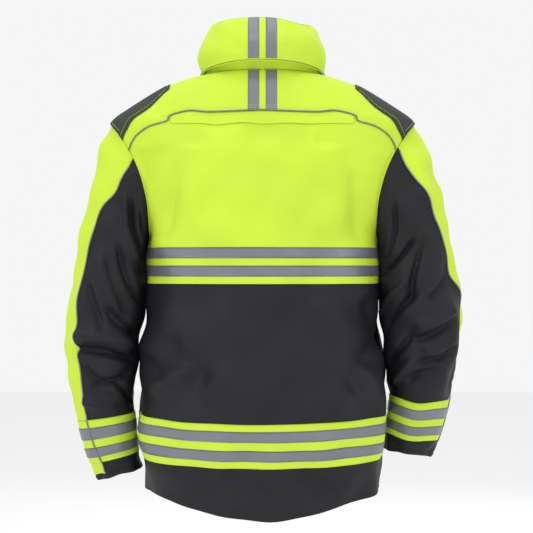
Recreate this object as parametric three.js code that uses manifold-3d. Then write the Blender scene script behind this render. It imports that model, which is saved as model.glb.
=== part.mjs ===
// A hip-length high-visibility turnout coat, in millimetres, +Z up, front facing -Y, wearer's left at +X.
// The origin is the centre of the neck opening, level with the back neck seam.
// Cloth pieces are closed sheets laid on smooth body and sleeve surfaces; what moves is built beside them.
import * as THREE from "three";
import Module from "manifold-3d";
import { mergeVertices } from "three/addons/utils/BufferGeometryUtils.js";

const wasm = await Module();
wasm.setup();

// ---- Driving dimensions -------------------------------------------------------------------------------
const SEAM_GAP = 0.4; // between two panels that are sewn edge to edge
const LAY_GAP = 0.7; // between a trim and the panel it is sewn on
const SHELL = 2.0; // thickness of the shell cloth
const LINING = 1.6;
const LINING_GAP = 0.9; // shell to lining
const TRIM = 1.2; // thickness of bands and tapes

const NECK_HALF_WIDTH = 100;
const FRONT_NECK_DEPTH = 110.6; // origin to the front closure at z = 0
const FRONT_LEAN = 0.0625; // the closure leans back this much per unit of height
const FRONT_NECK_DROP = 48; // the neck seam is this much lower in front

const CHEST_LINE = -376; // lower edge of the bright upper body
const PIT_LINE = -300; // last full ring below the armholes
const HEM_SIDE = -743;
const HEM_TAIL = 42; // the back hem drops this much below the sides
const BAND_TOP = -617;
const BAND_WIDTH = 76;
const TAPE_WIDTH = 19;
const TAPE_EDGE = 12; // bright border beside a tape
const CHEST_TAPE_DROP = 13; // bright strip below the lower chest tape
const CHEST_TAPE_GAP = 12.5;

const ARM_TIP = -86; // armhole: highest and lowest level, and half depth behind and in front
const ARM_PIT = -292;
const ARM_BACK = 75;
const ARM_FRONT = 68;

const CLOSURE_HALF = 12; // the two fronts stop this far from the centre line
const CLOSURE_TOP = 74;
const SLIDER_LENGTH = 22;
const SLIDER_REST = 46; // foot of the slider when the coat is closed
const PULL_LENGTH = 34;

const FLAP_HINGE = 39; // storm flap: hinge line, free edge and height of its arch over the zip
const FLAP_FREE = -45;
const FLAP_TOP = -56;
const FLAP_FOOT = -735;
const FLAP_ARCH = 13.5;
const FLAP_THICK = 2.4;
const FLAP_REST = 4.0; // inner face of its fastened edge above the front
const SNAP_LINE = -34;
const SNAP_LEVELS = [-84, -704];

const POCKET_CENTRE = 139; // lower pockets: side and height of the centre, and size
const POCKET_LEVEL = -520;
const POCKET_WIDTH = 134;
const POCKET_HEIGHT = 168;
const POCKET_DEPTH = 22;
const POCKET_FLAP = 58;
const POCKET_FLAP_OVERHANG = 2; // past each side of the pocket
const POCKET_WALL = 2.4;

const COLLAR_RADIUS = NECK_HALF_WIDTH + 9.5; // circle of the hood zip, and how far it leans back
const COLLAR_LEAN = 0.19;
const COLLAR_TOP = 94;
const COLLAR_TAPE_INNER = 6;

const SLEEVE_FREE = 3; // ring of the sleeve table where the swinging tube starts
const SLEEVE_CAP_GAP = 3;
const SLEEVE_LAY = 1.1; // between a sleeve and the band round it

// ---- Small tools --------------------------------------------------------------------------------------
const lerp = (a, b, t) => a + (b - a) * t;
const clamp01 = (t) => Math.min(1, Math.max(0, t));
const smooth = (t) => clamp01(t) ** 2 * (3 - 2 * clamp01(t));
const range = (n) => [...Array(n + 1).keys()];
const even = (from, to, n) => range(n).map((i) => lerp(from, to, i / n));

// A monotone cubic curve through [x, y] pairs, held level past both ends.
function profile(pairs) {
  const x = pairs.map((p) => p[0]);
  const y = pairs.map((p) => p[1]);
  const slope = x.slice(1).map((v, i) => (y[i + 1] - y[i]) / (v - x[i]));
  const m = x.map((_, i) => {
    if (i === 0 || i === x.length - 1) return slope[Math.min(i, slope.length - 1)];
    const [a, b] = [slope[i - 1], slope[i]];
    return a * b <= 0 ? 0 : (2 * a * b) / (a + b);
  });
  return (at) => {
    if (at <= x[0]) return y[0];
    if (at >= x.at(-1)) return y.at(-1);
    const i = x.findIndex((v) => v > at) - 1;
    const w = x[i + 1] - x[i];
    const t = (at - x[i]) / w;
    return (
      y[i] * (2 * t ** 3 - 3 * t ** 2 + 1) +
      m[i] * w * (t ** 3 - 2 * t ** 2 + t) +
      y[i + 1] * (3 * t ** 2 - 2 * t ** 3) +
      m[i + 1] * w * (t ** 3 - t ** 2)
    );
  };
}

// A surface point with its outward normal, from a function of two parameters.
function surfel(surface, u, v, outward) {
  const step = 1e-3;
  const p = surface(u, v);
  const du = surface(u + step, v).sub(surface(u - step, v));
  const dv = surface(u, v + step).sub(surface(u, v - step));
  const n = du.cross(dv).normalize();
  return { p, n: n.dot(outward(p)) < 0 ? n.negate() : n };
}

// Whether a cell's first diagonal lies outside its second: each cell folds along its outer diagonal, so that
// sheets laid over each other fold alike.
function standsProud(rows, j, i, k) {
  const [a, b, c, d] = [rows[j][i], rows[j][k], rows[j + 1][k], rows[j + 1][i]].map(({ p }) => p);
  return a.clone().add(c).sub(b).sub(d).dot(rows[j][i].n) > 0;
}

// A closed sheet over rows of surfels, between two offsets along the normals. A ring row joins its own ends.
function sheet(rows, outer, inner, ring = false) {
  const across = rows[0].length;
  const position = [outer, inner].flatMap((offset) =>
    rows.flatMap((row) => row.flatMap(({ p, n }) => p.clone().addScaledVector(n, offset).toArray())),
  );
  const side = rows.length * across;
  const index = [];
  const quad = (a, b, c, d) => index.push(a, b, c, a, c, d);
  const next = (i) => (i + 1) % across;
  const cells = ring ? across : across - 1;
  for (let j = 0; j < rows.length - 1; j++)
    for (let i = 0; i < cells; i++) {
      const [a, b] = [j * across + i, j * across + next(i)];
      const cell = standsProud(rows, j, i, next(i))
        ? [a, b, b + across, a + across]
        : [b, b + across, a + across, a];
      quad(...cell);
      quad(...cell.map((k) => side + k).reverse().map((k, at, all) => all[(at + 3) % 4]));
    }
  const last = (rows.length - 1) * across;
  for (let i = 0; i < cells; i++) {
    quad(i, side + i, side + next(i), next(i));
    quad(last + i, last + next(i), side + last + next(i), side + last + i);
  }
  if (!ring)
    for (let j = 0; j < rows.length - 1; j++) {
      const [a, b] = [j * across, (j + 1) * across];
      const [c, d] = [a + across - 1, b + across - 1];
      quad(a, b, side + b, side + a);
      quad(c, side + c, side + d, d);
    }
  const geometry = new THREE.BufferGeometry();
  geometry.setAttribute("position", new THREE.Float32BufferAttribute(position, 3));
  geometry.setIndex(index);
  return facingOut(geometry);
}

function facingOut(geometry) {
  const at = geometry.getAttribute("position");
  const index = geometry.index.array;
  const [a, b, c] = [0, 0, 0].map(() => new THREE.Vector3());
  let volume = 0;
  for (let i = 0; i < index.length; i += 3) {
    [a, b, c].forEach((v, k) => v.fromBufferAttribute(at, index[i + k]));
    volume += a.dot(b.cross(c));
  }
  if (volume < 0)
    for (let i = 0; i < index.length; i += 3) [index[i + 1], index[i + 2]] = [index[i + 2], index[i + 1]];
  return geometry;
}

function solidOf(geometry) {
  const bare = geometry.clone();
  bare.deleteAttribute("normal");
  bare.deleteAttribute("uv");
  const merged = mergeVertices(bare, 1e-4);
  return new wasm.Manifold(
    new wasm.Mesh({
      numProp: 3,
      vertProperties: new Float32Array(merged.getAttribute("position").array),
      triVerts: new Uint32Array(merged.index.array),
    }),
  );
}

function geometryOf(solid) {
  const made = solid.getMesh();
  const geometry = new THREE.BufferGeometry();
  geometry.setAttribute("position", new THREE.Float32BufferAttribute(made.vertProperties, 3));
  geometry.setIndex(new THREE.BufferAttribute(made.triVerts, 1));
  return geometry;
}

const without = (geometry, ...cutters) =>
  geometryOf(cutters.reduce((left, cutter) => left.subtract(solidOf(cutter)), solidOf(geometry)));
const joined = (...pieces) =>
  geometryOf(pieces.map(solidOf).reduce((whole, piece) => whole.add(piece)));

// A box between two corners.
function block(low, high) {
  const size = low.map((v, i) => high[i] - v);
  return new THREE.BoxGeometry(...size).translate(...low.map((v, i) => v + size[i] / 2));
}

// A closed outline in x and y, extruded along z between two levels.
function bar(outline, foot, top) {
  const shape = new THREE.Shape(outline.map(([x, y]) => new THREE.Vector2(x, y)));
  return new THREE.ExtrudeGeometry(shape, { depth: top - foot, bevelEnabled: false }).translate(0, 0, foot);
}

// ---- Materials ----------------------------------------------------------------------------------------
const finish = (color, roughness, metalness = 0) =>
  new THREE.MeshStandardMaterial({ color, roughness, metalness });
const BRIGHT = finish(0xc8f02a, 0.75);
const DARK = finish(0x2b2a31, 0.7);
const SILVER = finish(0x8e8f9c, 0.45);
const PATCH = finish(0x3a3b3a, 0.85);
const QUILT = finish(0x1c1c22, 0.9);
const COIL = finish(0x161619, 0.5);
const METAL = finish(0x9a9a98, 0.35, 0.9);

const coat = new THREE.Group();
function add(name, geometry, material, into = coat) {
  const mesh = new THREE.Mesh(geometry, material);
  mesh.name = name;
  into.add(mesh);
}

// ---- The body surface: level rings around the torso ---------------------------------------------------
const halfWidth = profile([
  [-790, 202], [-740, 208], [-690, 214], [-620, 219], [-540, 220], [-450, 211], [-376, 204], [-300, 203],
  [-250, 212], [-200, 229], [-150, 248], [-110, 263], [-86, 271], [-77, 264], [-62, 243], [-48, 222],
  [-34, 200], [-19, 173], [-9, 145], [-3, 120], [0, NECK_HALF_WIDTH],
]);
const backDepth = profile([
  [-790, 138], [-740, 144], [-690, 150], [-620, 154], [-540, 152], [-450, 147], [-376, 144], [-300, 144],
  [-200, 142], [-150, 138], [-110, 131], [-84, 123], [-62, 116], [-34, 104], [-9, 88], [0, 80],
]);
const squareness = profile([[-790, 2.5], [-300, 2.6], [-120, 2.5], [-40, 2.2], [0, 2.1]]);
const neckDrop = (level) => FRONT_NECK_DROP * smooth((level - ARM_PIT) / -ARM_PIT);
const frontDepth = (level) => FRONT_NECK_DEPTH - FRONT_LEAN * (level - neckDrop(level));
const outOfBody = (p) => new THREE.Vector3(p.x, p.y, 0);

function bodyPoint(angle, level) {
  const [cos, sin] = [Math.cos(angle), Math.sin(angle)];
  const power = squareness(level);
  const depth = sin > 0 ? backDepth(level) : frontDepth(level);
  const reach = (Math.abs(cos / halfWidth(level)) ** power + Math.abs(sin / depth) ** power) ** (-1 / power);
  const drop = neckDrop(level) * ((1 - sin) / 2) ** 2.5;
  return new THREE.Vector3(reach * cos, reach * sin, level - drop);
}

// Half width of the ring at a level, a distance y behind its widest line (in front of it, if negative).
function widthAt(level, y) {
  const depth = y > 0 ? backDepth(level) : frontDepth(level);
  const power = squareness(level);
  return halfWidth(level) * Math.max(0, 1 - Math.abs(y / depth) ** power) ** (1 / power);
}

const pitToTip = (ARM_TIP - ARM_PIT) / 2;
const armMiddle = (ARM_TIP + ARM_PIT) / 2;
// Angle at which the armhole cuts the ring at a level: zero on the side seam and the shoulder seam.
function armAngle(level, reach) {
  const u = (level - armMiddle) / pitToTip;
  if (Math.abs(u) >= 1) return 0;
  const y = reach * Math.sqrt(1 - u * u);
  return Math.atan2(Math.abs(y), widthAt(level, y));
}

const TRIM_END = 0.82; // share of the front, from the side to the closure, that bands and tapes run over
// The three lengths of cloth the body is cut in. s runs from the wearer's left to right behind, and from the
// side to the closure in front.
const closureAngle = (level) => -Math.PI / 2 + CLOSURE_HALF / frontDepth(level);
const GORES = {
  back: (s, level) => {
    const edge = armAngle(level, ARM_BACK);
    return bodyPoint(lerp(edge, Math.PI - edge, s), level);
  },
  left: (s, level) => bodyPoint(lerp(-armAngle(level, -ARM_FRONT), closureAngle(level), s), level),
  right: (s, level) => GORES.left(s, level).multiply(new THREE.Vector3(-1, 1, 1)),
};
const FRONT_STATIONS = [0, 0.12, 0.24, 0.36, 0.48, 0.6, 0.71, TRIM_END, 1];
const STATIONS = { back: even(0, 1, 16), left: FRONT_STATIONS, right: FRONT_STATIONS };
const ARC = { back: 640, left: 330, right: 330 }; // rough widths, only used to size the seam gaps

// Rows of surfels on a gore. A level may be a number or a function of s.
function goreRows(gore, levels, stations = STATIONS[gore], inset = SEAM_GAP / 2) {
  const side = inset / ARC[gore];
  const ends = stations.map((s) => (s === 0 ? side : s === 1 ? 1 - side : s));
  return levels.map((level, j) =>
    ends.map((s) => {
      const at = typeof level === "number" ? level : level(s);
      const shift = j === 0 ? inset : j === levels.length - 1 ? -inset : 0;
      return surfel(GORES[gore], s, at + shift, outOfBody);
    }),
  );
}

const hemLevel = (s) => HEM_SIDE - HEM_TAIL * Math.sin(Math.PI * s) ** 2;
const yokeShape = profile([
  [0, -76], [0.43, -79], [0.54, -76], [0.6, -80], [0.68, -94], [0.76, -100], [0.87, -115], [1, -141],
]);
const yokeLevel = (s) => yokeShape(Math.abs(2 * s - 1));
const yokeRest = [-105, ARM_TIP - 6, ARM_TIP, -68, -50, -34, -16, 0].map((level) => 1 - level / yokeLevel(0));
const yokeRows = [yokeLevel, ...yokeRest.map((f) => (s) => yokeLevel(s) * (1 - f))];
const bandLevels = [BAND_TOP - BAND_WIDTH, BAND_TOP];
const skirtLevels = [...bandLevels, -540, -458, CHEST_LINE];
const bustLevels = [CHEST_LINE, PIT_LINE];
const upperBackRows = [
  ...bustLevels, ...[0.28, 0.55, 0.8, 1].map((f) => (s) => lerp(PIT_LINE, yokeLevel(s), f)),
];
const frontLevels = [
  ...bustLevels, -262, -220, -175, -130, -105, ARM_TIP - 6, ARM_TIP, -68, -50, -34, -16, 0,
];

const PANELS = {
  lower_back_panel: ["back", [hemLevel, ...skirtLevels], DARK],
  upper_back_panel: ["back", upperBackRows, BRIGHT],
  back_yoke: ["back", yokeRows, BRIGHT],
  lower_front_left: ["left", [HEM_SIDE, ...skirtLevels], DARK],
  lower_front_right: ["right", [HEM_SIDE, ...skirtLevels], DARK],
  upper_front_left: ["left", frontLevels, BRIGHT],
  upper_front_right: ["right", frontLevels, BRIGHT],
};
const panelSheet = (name, outer, inner, inset = SEAM_GAP / 2) =>
  sheet(goreRows(PANELS[name][0], PANELS[name][1], undefined, inset), outer, inner);
for (const [name, [, , material]] of Object.entries(PANELS)) add(name, panelSheet(name, 0, -SHELL), material);

// Rows that run from the left closure edge round the back to the right one, with levels read off the flat
// facets between two panel rows, so that what lies on the panels keeps its gap to them.
function beltRows(levels, foot, top, end = TRIM_END) {
  const turn = (level) => {
    const lengths = ["left", "back", "right"].map((gore) => {
      const stations = STATIONS[gore].filter((s) => gore === "back" || s <= end);
      return goreRows(gore, [level], stations, 0)[0];
    });
    return [...lengths[0].reverse().slice(0, -1), ...lengths[1].slice(0, -1), ...lengths[2]];
  };
  const [low, high] = [turn(foot), turn(top)];
  return levels.map((level) => {
    const t = (level - foot) / (top - foot);
    return low.map((a, i) => ({ p: a.p.clone().lerp(high[i].p, t), n: a.n.clone().lerp(high[i].n, t).normalize() }));
  });
}

function beltTape(name, foot, between, lift) {
  add(name, sheet(beltRows([foot, foot + TAPE_WIDTH], ...between), lift + TRIM, lift), SILVER);
}

// Distances up a band at which it meets the edges of its two tapes.
const BAND_STEPS = [0, TAPE_EDGE, TAPE_EDGE + TAPE_WIDTH]
  .flatMap((d) => [d, BAND_WIDTH - d])
  .sort((a, b) => a - b);
const hemSteps = BAND_STEPS.map((d) => bandLevels[0] + d);
add("hem_band", sheet(beltRows(hemSteps, ...bandLevels), LAY_GAP + TRIM, LAY_GAP), BRIGHT);
const bandLift = LAY_GAP + TRIM + LAY_GAP;
beltTape("hem_tape_lower", hemSteps[1], bandLevels, bandLift);
beltTape("hem_tape_upper", hemSteps[3], bandLevels, bandLift);
const chestTape = CHEST_LINE + CHEST_TAPE_DROP;
beltTape("chest_tape_lower", chestTape, bustLevels, LAY_GAP);
beltTape("chest_tape_upper", chestTape + TAPE_WIDTH + CHEST_TAPE_GAP, bustLevels, LAY_GAP);

// The quilted lining hangs just inside the shell, from above the hem to below the armholes.
const liningOut = -SHELL - LINING_GAP;
const liningRows = [-724, bandLevels[0], BAND_TOP, -540, -458, CHEST_LINE, PIT_LINE - 4];
const liningSheet = liningRows.flatMap((level) => beltRows([level], level, level + 1, 1));
add("body_lining", sheet(liningSheet, liningOut, liningOut - LINING), QUILT);

// ---- Yoke trims ---------------------------------------------------------------------------------------
const alongYoke = (...drops) => drops.map((drop) => (s) => yokeLevel(s) + drop);
add("yoke_piping", sheet(goreRows("back", alongYoke(-2, 2), undefined, 0), LAY_GAP + 2, LAY_GAP), SILVER);
const ventStations = STATIONS.back.filter((s) => s > 0.18 && s < 0.82);
add("back_vent_flap", sheet(goreRows("back", alongYoke(-30, -6), ventStations, 0), LAY_GAP + TRIM, LAY_GAP), BRIGHT);

// s on the back gore where x reaches a value at a level, by halving.
function stationAt(x, level) {
  let [low, high] = [0, 1];
  for (let i = 0; i < 40; i++) {
    const middle = (low + high) / 2;
    if (GORES.back(middle, level).x > x) low = middle;
    else high = middle;
  }
  return low;
}

for (const [side, sign] of [["left", 1], ["right", -1]]) {
  const levels = yokeRows.map((row) => lerp(-1.2, yokeLevel(0.5) + 4, row(0.5) / yokeLevel(0.5)));
  const edges = [COLLAR_TAPE_INNER, COLLAR_TAPE_INNER + TAPE_WIDTH].map((x) => x * sign);
  const rows = levels.map((level) => edges.map((x) => surfel(GORES.back, stationAt(x, level), level, outOfBody)));
  add(`yoke_tape_${side}`, sheet(rows, LAY_GAP + TRIM, LAY_GAP), SILVER);
}

// The body surface over a point of the plan that lies above a level, found by halving.
function shoulderPoint(x, y, foot) {
  let [low, high] = [foot, 0];
  for (let i = 0; i < 40; i++) {
    const middle = (low + high) / 2;
    if (widthAt(middle, y) > Math.abs(x)) low = middle;
    else high = middle;
  }
  return bodyPoint(Math.atan2(y, x), low);
}

// Shoulder patches: over the shoulder seam, from the armhole most of the way to the neck.
const PATCH_INNER = 164;
const PATCH_HALF = [58, 60]; // half depth at the neck end and at the armhole
const PATCH_SET_IN = 6; // behind the armhole edge
function patchPoint(across, along) {
  const y = across * lerp(...PATCH_HALF, along);
  const reach = y > 0 ? ARM_BACK : ARM_FRONT;
  const level = armMiddle + pitToTip * Math.sqrt(1 - Math.min(0.95, (y / reach) ** 2));
  return shoulderPoint(lerp(PATCH_INNER, widthAt(level, y) - PATCH_SET_IN, along), y, level);
}
const upward = () => new THREE.Vector3(0, 0, 1);
const MIRROR = new THREE.Matrix4().makeScale(-1, 1, 1);
const mirrored = (geometry) => facingOut(geometry.clone().applyMatrix4(MIRROR));
const patchRows = even(0, 1, 5).map((t) => even(-1, 1, 6).map((w) => surfel(patchPoint, w, t, upward)));
const patchSlab = sheet(patchRows, LAY_GAP + 2, -3);
for (const [side, slab] of [["left", patchSlab], ["right", mirrored(patchSlab)]]) {
  const under = ["back_yoke", `upper_front_${side}`].map((name) => panelSheet(name, LAY_GAP / 2, -8, -SEAM_GAP));
  add(`shoulder_patch_${side}`, without(slab, ...under), PATCH);
}

// ---- Collar: a stand, and a roll above it that holds the folded hood ------------------------------------
const rollSwell = profile([[0, 0], [0.14, 3.5], [0.32, 5.5], [0.5, 3], [0.66, -2.5], [0.85, -11.5], [1, -18.5]]);
const rollLean = profile([[0, COLLAR_LEAN], [1, 0.03]]);
const closureAt = (z) => -(FRONT_NECK_DEPTH - FRONT_LEAN * z);

// A leaning ring that always touches the straight closure line in front. u is the turn, v the height, 0 to 1.
function ringPoint(angle, wide, back, middle, lean) {
  const front = closureAt(middle - lean * FRONT_NECK_DEPTH);
  const y = (back + front) / 2 + ((back - front) / 2) * Math.sin(angle);
  return new THREE.Vector3(wide * Math.cos(angle), y, middle + lean * y);
}
function rollPoint(angle, v) {
  const wide = COLLAR_RADIUS + rollSwell(v);
  return ringPoint(angle, wide, wide - 4, COLLAR_TOP * v * 0.97, rollLean(v));
}
function standPoint(angle, v) {
  const top = ringPoint(angle, COLLAR_RADIUS - 5, COLLAR_RADIUS - 9, -2, COLLAR_LEAN);
  return bodyPoint(angle, 0).add(new THREE.Vector3(0, 0, 0.8)).lerp(top, v);
}
const collarTurn = (wide) => Math.asin(CLOSURE_HALF / wide);
const collarAngles = (steps, wide = 92) =>
  even(-Math.PI / 2 + collarTurn(wide), 1.5 * Math.PI - collarTurn(wide), steps);
const outOfCollar = (p) => new THREE.Vector3(p.x, p.y, 0);
const collarRows = (surface, heights, angles = collarAngles(24)) =>
  heights.map((v) => angles.map((angle) => surfel(surface, angle, v, outOfCollar)));

const rollHeights = [0.01, 0.16, 0.36, 0.56, 0.78, 1];
add("collar_stand", sheet(collarRows(standPoint, [0, 0.9]), 0, -SHELL), BRIGHT);
add("hood_collar", sheet(collarRows(rollPoint, rollHeights), 0, -SHELL), BRIGHT);
add("stowed_hood", sheet(collarRows(rollPoint, [0.1, 0.36, 0.56, 0.86]), -SHELL - 1, -12), BRIGHT);
add("collar_lining", sheet(collarRows(rollPoint, rollHeights), -13, -13 - LINING), QUILT);

for (const [side, sign] of [["left", 1], ["right", -1]]) {
  const rows = rollHeights.map((v) =>
    [COLLAR_TAPE_INNER, COLLAR_TAPE_INNER + TAPE_WIDTH].map((x) =>
      surfel(rollPoint, Math.acos((sign * x) / (COLLAR_RADIUS + rollSwell(v))), v, outOfCollar),
    ),
  );
  add(`collar_tape_${side}`, sheet(rows, LAY_GAP + TRIM, LAY_GAP), SILVER);
}

// The hood zip runs round the foot of the roll on a true circle, so that its slider can follow it.
const HOOD_ZIP_WIDTH = 5;
const hoodZip = new THREE.Group();
hoodZip.rotation.x = Math.atan(COLLAR_LEAN);
hoodZip.position.set(0, -4, -4.5);
coat.add(hoodZip);
const hoodRing = (angle, z) =>
  new THREE.Vector3((COLLAR_RADIUS + 2.6) * Math.cos(angle), (COLLAR_RADIUS + 2.6) * Math.sin(angle), z);
const hoodZipAngles = even(-0.1, Math.PI + 0.1, 22);
const hoodZipRows = [-HOOD_ZIP_WIDTH, -0.6].map((z) => hoodZipAngles.map((a) => surfel(hoodRing, a, z, outOfCollar)));
add("hood_zip", sheet(hoodZipRows, TRIM, 0), COIL, hoodZip);
const hoodSlider = block([COLLAR_RADIUS + 4.6, -4.5, -HOOD_ZIP_WIDTH - 0.4], [COLLAR_RADIUS + 8, 4.5, 0]);
const hoodPull = block([COLLAR_RADIUS + 6, -26, -HOOD_ZIP_WIDTH + 0.4], [COLLAR_RADIUS + 7.4, -3, -0.6]);
add("hood_zip_slider", joined(hoodSlider, hoodPull), METAL, hoodZip);

// The loop that hangs the coat on a hook, inside the back neck.
const loopShape = new THREE.Shape();
loopShape.moveTo(-28, -2).lineTo(28, -2).lineTo(28, 10).lineTo(-28, 10).closePath();
const loopHole = new THREE.Path();
loopHole.moveTo(-26.6, -0.6).lineTo(-26.6, 8.6).lineTo(26.6, 8.6).lineTo(26.6, -0.6).closePath();
loopShape.holes.push(loopHole);
const loopTape = new THREE.ExtrudeGeometry(loopShape, { depth: 8, bevelEnabled: false });
add("hanger_loop", loopTape.rotateX(Math.PI / 2).translate(0, 75, 0), DARK);

// ---- Front closure: everything in this group stands along the leaning closure line, outward at -Y --------
const closure = new THREE.Group();
closure.position.y = -FRONT_NECK_DEPTH;
closure.rotation.x = -Math.atan(FRONT_LEAN);
coat.add(closure);

const CHAIN_HALF = 2.8;
const CHAIN_PROUD = 1.6;
const zipFoot = HEM_SIDE + 6;
const tapeOutline = [
  [0.2, -CHAIN_PROUD], [CHAIN_HALF, -CHAIN_PROUD], [CHAIN_HALF, 1.2], [CLOSURE_HALF - SEAM_GAP - 0.4, 1.2],
  [CLOSURE_HALF - SEAM_GAP - 0.4, 2.2], [CHAIN_HALF, 2.2], [CHAIN_HALF, 2.8], [0.2, 2.8],
];
add("zip_tape_left", bar(tapeOutline, zipFoot, CLOSURE_TOP), COIL, closure);
const rightOutline = tapeOutline.map(([x, y]) => [-x, y]).reverse();
add("zip_tape_right", bar(rightOutline, zipFoot, CLOSURE_TOP), COIL, closure);

// Slider: a tapered plate in front of the chain, with two lugs that hold the bar its pull swings on.
const sliderFace = -CHAIN_PROUD - 0.5;
const BAR_Y = sliderFace - 6;
const BAR_Z = SLIDER_REST + SLIDER_LENGTH - 5;
const BAR_RADIUS = 1.1;
const PULL_CLEARANCE = 0.35;
const plateShape = new THREE.Shape();
plateShape.moveTo(-4.6, 0).lineTo(4.6, 0).lineTo(6.2, SLIDER_LENGTH * 0.7).lineTo(5, SLIDER_LENGTH);
plateShape.lineTo(-5, SLIDER_LENGTH).lineTo(-6.2, SLIDER_LENGTH * 0.7).closePath();
const plate = new THREE.ExtrudeGeometry(plateShape, { depth: 3, bevelEnabled: false })
  .rotateX(Math.PI / 2)
  .translate(0, sliderFace, SLIDER_REST);
const lugs = [-4.4, 3].map((x) => block([x, BAR_Y - 1.6, BAR_Z - 2], [x + 1.4, sliderFace - 2, BAR_Z + 2]));
const pullBar = new THREE.CylinderGeometry(BAR_RADIUS, BAR_RADIUS, 8.6, 16)
  .rotateZ(Math.PI / 2)
  .translate(0, BAR_Y, BAR_Z);
add("zip_slider", joined(plate, ...lugs, pullBar), METAL, closure);
const pullEye = new THREE.CylinderGeometry(2.4, 2.4, 5, 20).rotateZ(Math.PI / 2).translate(0, BAR_Y, BAR_Z);
const pullHole = new THREE.CylinderGeometry(BAR_RADIUS + PULL_CLEARANCE, BAR_RADIUS + PULL_CLEARANCE, 8, 20)
  .rotateZ(Math.PI / 2)
  .translate(0, BAR_Y, BAR_Z);
const pullTab = block([-2.5, BAR_Y - 0.9, BAR_Z - PULL_LENGTH], [2.5, BAR_Y + 0.9, BAR_Z - 1.8]);
add("zip_pull", without(joined(pullEye, pullTab), pullHole), METAL, closure);

// Storm flap: sewn along the wearer's left, arched over the zip, fastened along the right.
const flapInner = [
  [FLAP_HINGE, -1.4], [30, -4.2], [22, -9], [14, -FLAP_ARCH + 0.8], [0, -FLAP_ARCH], [-12, -FLAP_ARCH + 1.2],
  [-19, -8.6], [-25, -FLAP_REST - 0.8], [-28, -FLAP_REST], [FLAP_FREE, -FLAP_REST],
];
const flapOuter = flapInner.map(([x, y]) => [x, y - FLAP_THICK]).reverse();
const snapHoles = SNAP_LEVELS.map((z) =>
  new THREE.CylinderGeometry(2.9, 2.9, 12, 16).translate(SNAP_LINE, -FLAP_REST - 1, z),
);
add("storm_flap", without(bar([...flapInner, ...flapOuter], FLAP_FOOT, FLAP_TOP), ...snapHoles), DARK, closure);
const stripLength = [SNAP_LEVELS[1] + 40, SNAP_LEVELS[0] - 40];
add("flap_loop_strip", block([-40, -1.8, stripLength[0]], [-28, -0.5, stripLength[1]]), COIL, closure);
add("flap_hook_strip", block([-40, -3.6, stripLength[0]], [-28, -2.2, stripLength[1]]), COIL, closure);

// A snap is a cap and socket riveted through the flap, over a stud on the front panel.
function turned(outline) {
  const lathe = new THREE.LatheGeometry(outline.map(([r, y]) => new THREE.Vector2(r, y)), 20);
  return facingOut(mergeVertices(lathe.deleteAttribute("uv").deleteAttribute("normal"), 1e-4));
}
const flapFace = -FLAP_REST - FLAP_THICK;
const capOutline = [
  [0, flapFace - 2], [6.4, flapFace - 1.6], [7.4, flapFace - 0.4], [2.5, flapFace - 0.3], [2.5, -3.7], [6, -3.7],
  [6, -1.2], [3.1, -1.2], [3.1, -3.4], [0, -3.4],
];
const studOutline = [[0, -3.1], [2.4, -3.1], [2.4, -0.9], [6, -0.9], [6, -0.3], [0, -0.3]];
SNAP_LEVELS.forEach((z, i) => {
  add(`snap_cap_${i + 1}`, turned(capOutline).translate(SNAP_LINE, 0, z), METAL, closure);
  add(`snap_stud_${i + 1}`, turned(studOutline).translate(SNAP_LINE, 0, z), METAL, closure);
});

// ---- Lower pockets: bellows boxes that fit the front, each with a hinged flap ---------------------------
const pocketAngle = -Math.acos(POCKET_CENTRE / halfWidth(POCKET_LEVEL)) * 0.86;
const pocketSeat = surfel(bodyPoint, pocketAngle, POCKET_LEVEL, outOfBody);
const pocketFrame = new THREE.Matrix4();
{
  const out = pocketSeat.n.clone().setZ(0).normalize();
  const up = new THREE.Vector3(0, 0, 1);
  pocketFrame.makeBasis(up.clone().cross(out), up, out).setPosition(pocketSeat.p);
}
const halfPocket = POCKET_WIDTH / 2;
const pocketTop = POCKET_HEIGHT / 2;
const pocketBlock = (inset, low, top, out) =>
  block([inset - halfPocket, inset - pocketTop, low], [halfPocket - inset, top, out])
    .applyMatrix4(pocketFrame);
const leftPocket = without(
  pocketBlock(0, -45, pocketTop, POCKET_DEPTH),
  panelSheet("lower_front_left", LAY_GAP / 2, -60),
  pocketBlock(POCKET_WALL, -60, pocketTop + 1, POCKET_DEPTH - POCKET_WALL),
);
// The flap is sewn to the coat just above the pocket's mouth, and folds down over the pocket's front.
const flapSeat = POCKET_DEPTH + 0.6;
const flapRoot = pocketTop + 1;
const flapEnd = halfPocket + POCKET_FLAP_OVERHANG;
const flapTop = flapRoot + FLAP_THICK;
const leftPocketFlap = joined(
  block([-flapEnd, flapRoot, 1.2], [flapEnd, flapTop, flapSeat + 1]),
  block([-flapEnd, flapTop - POCKET_FLAP, flapSeat], [flapEnd, flapTop, flapSeat + FLAP_THICK]),
).applyMatrix4(pocketFrame);
add("pocket_left", leftPocket, DARK);
add("pocket_right", mirrored(leftPocket), DARK);
add("pocket_flap_left", leftPocketFlap, DARK);
add("pocket_flap_right", mirrored(leftPocketFlap), DARK);

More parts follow.
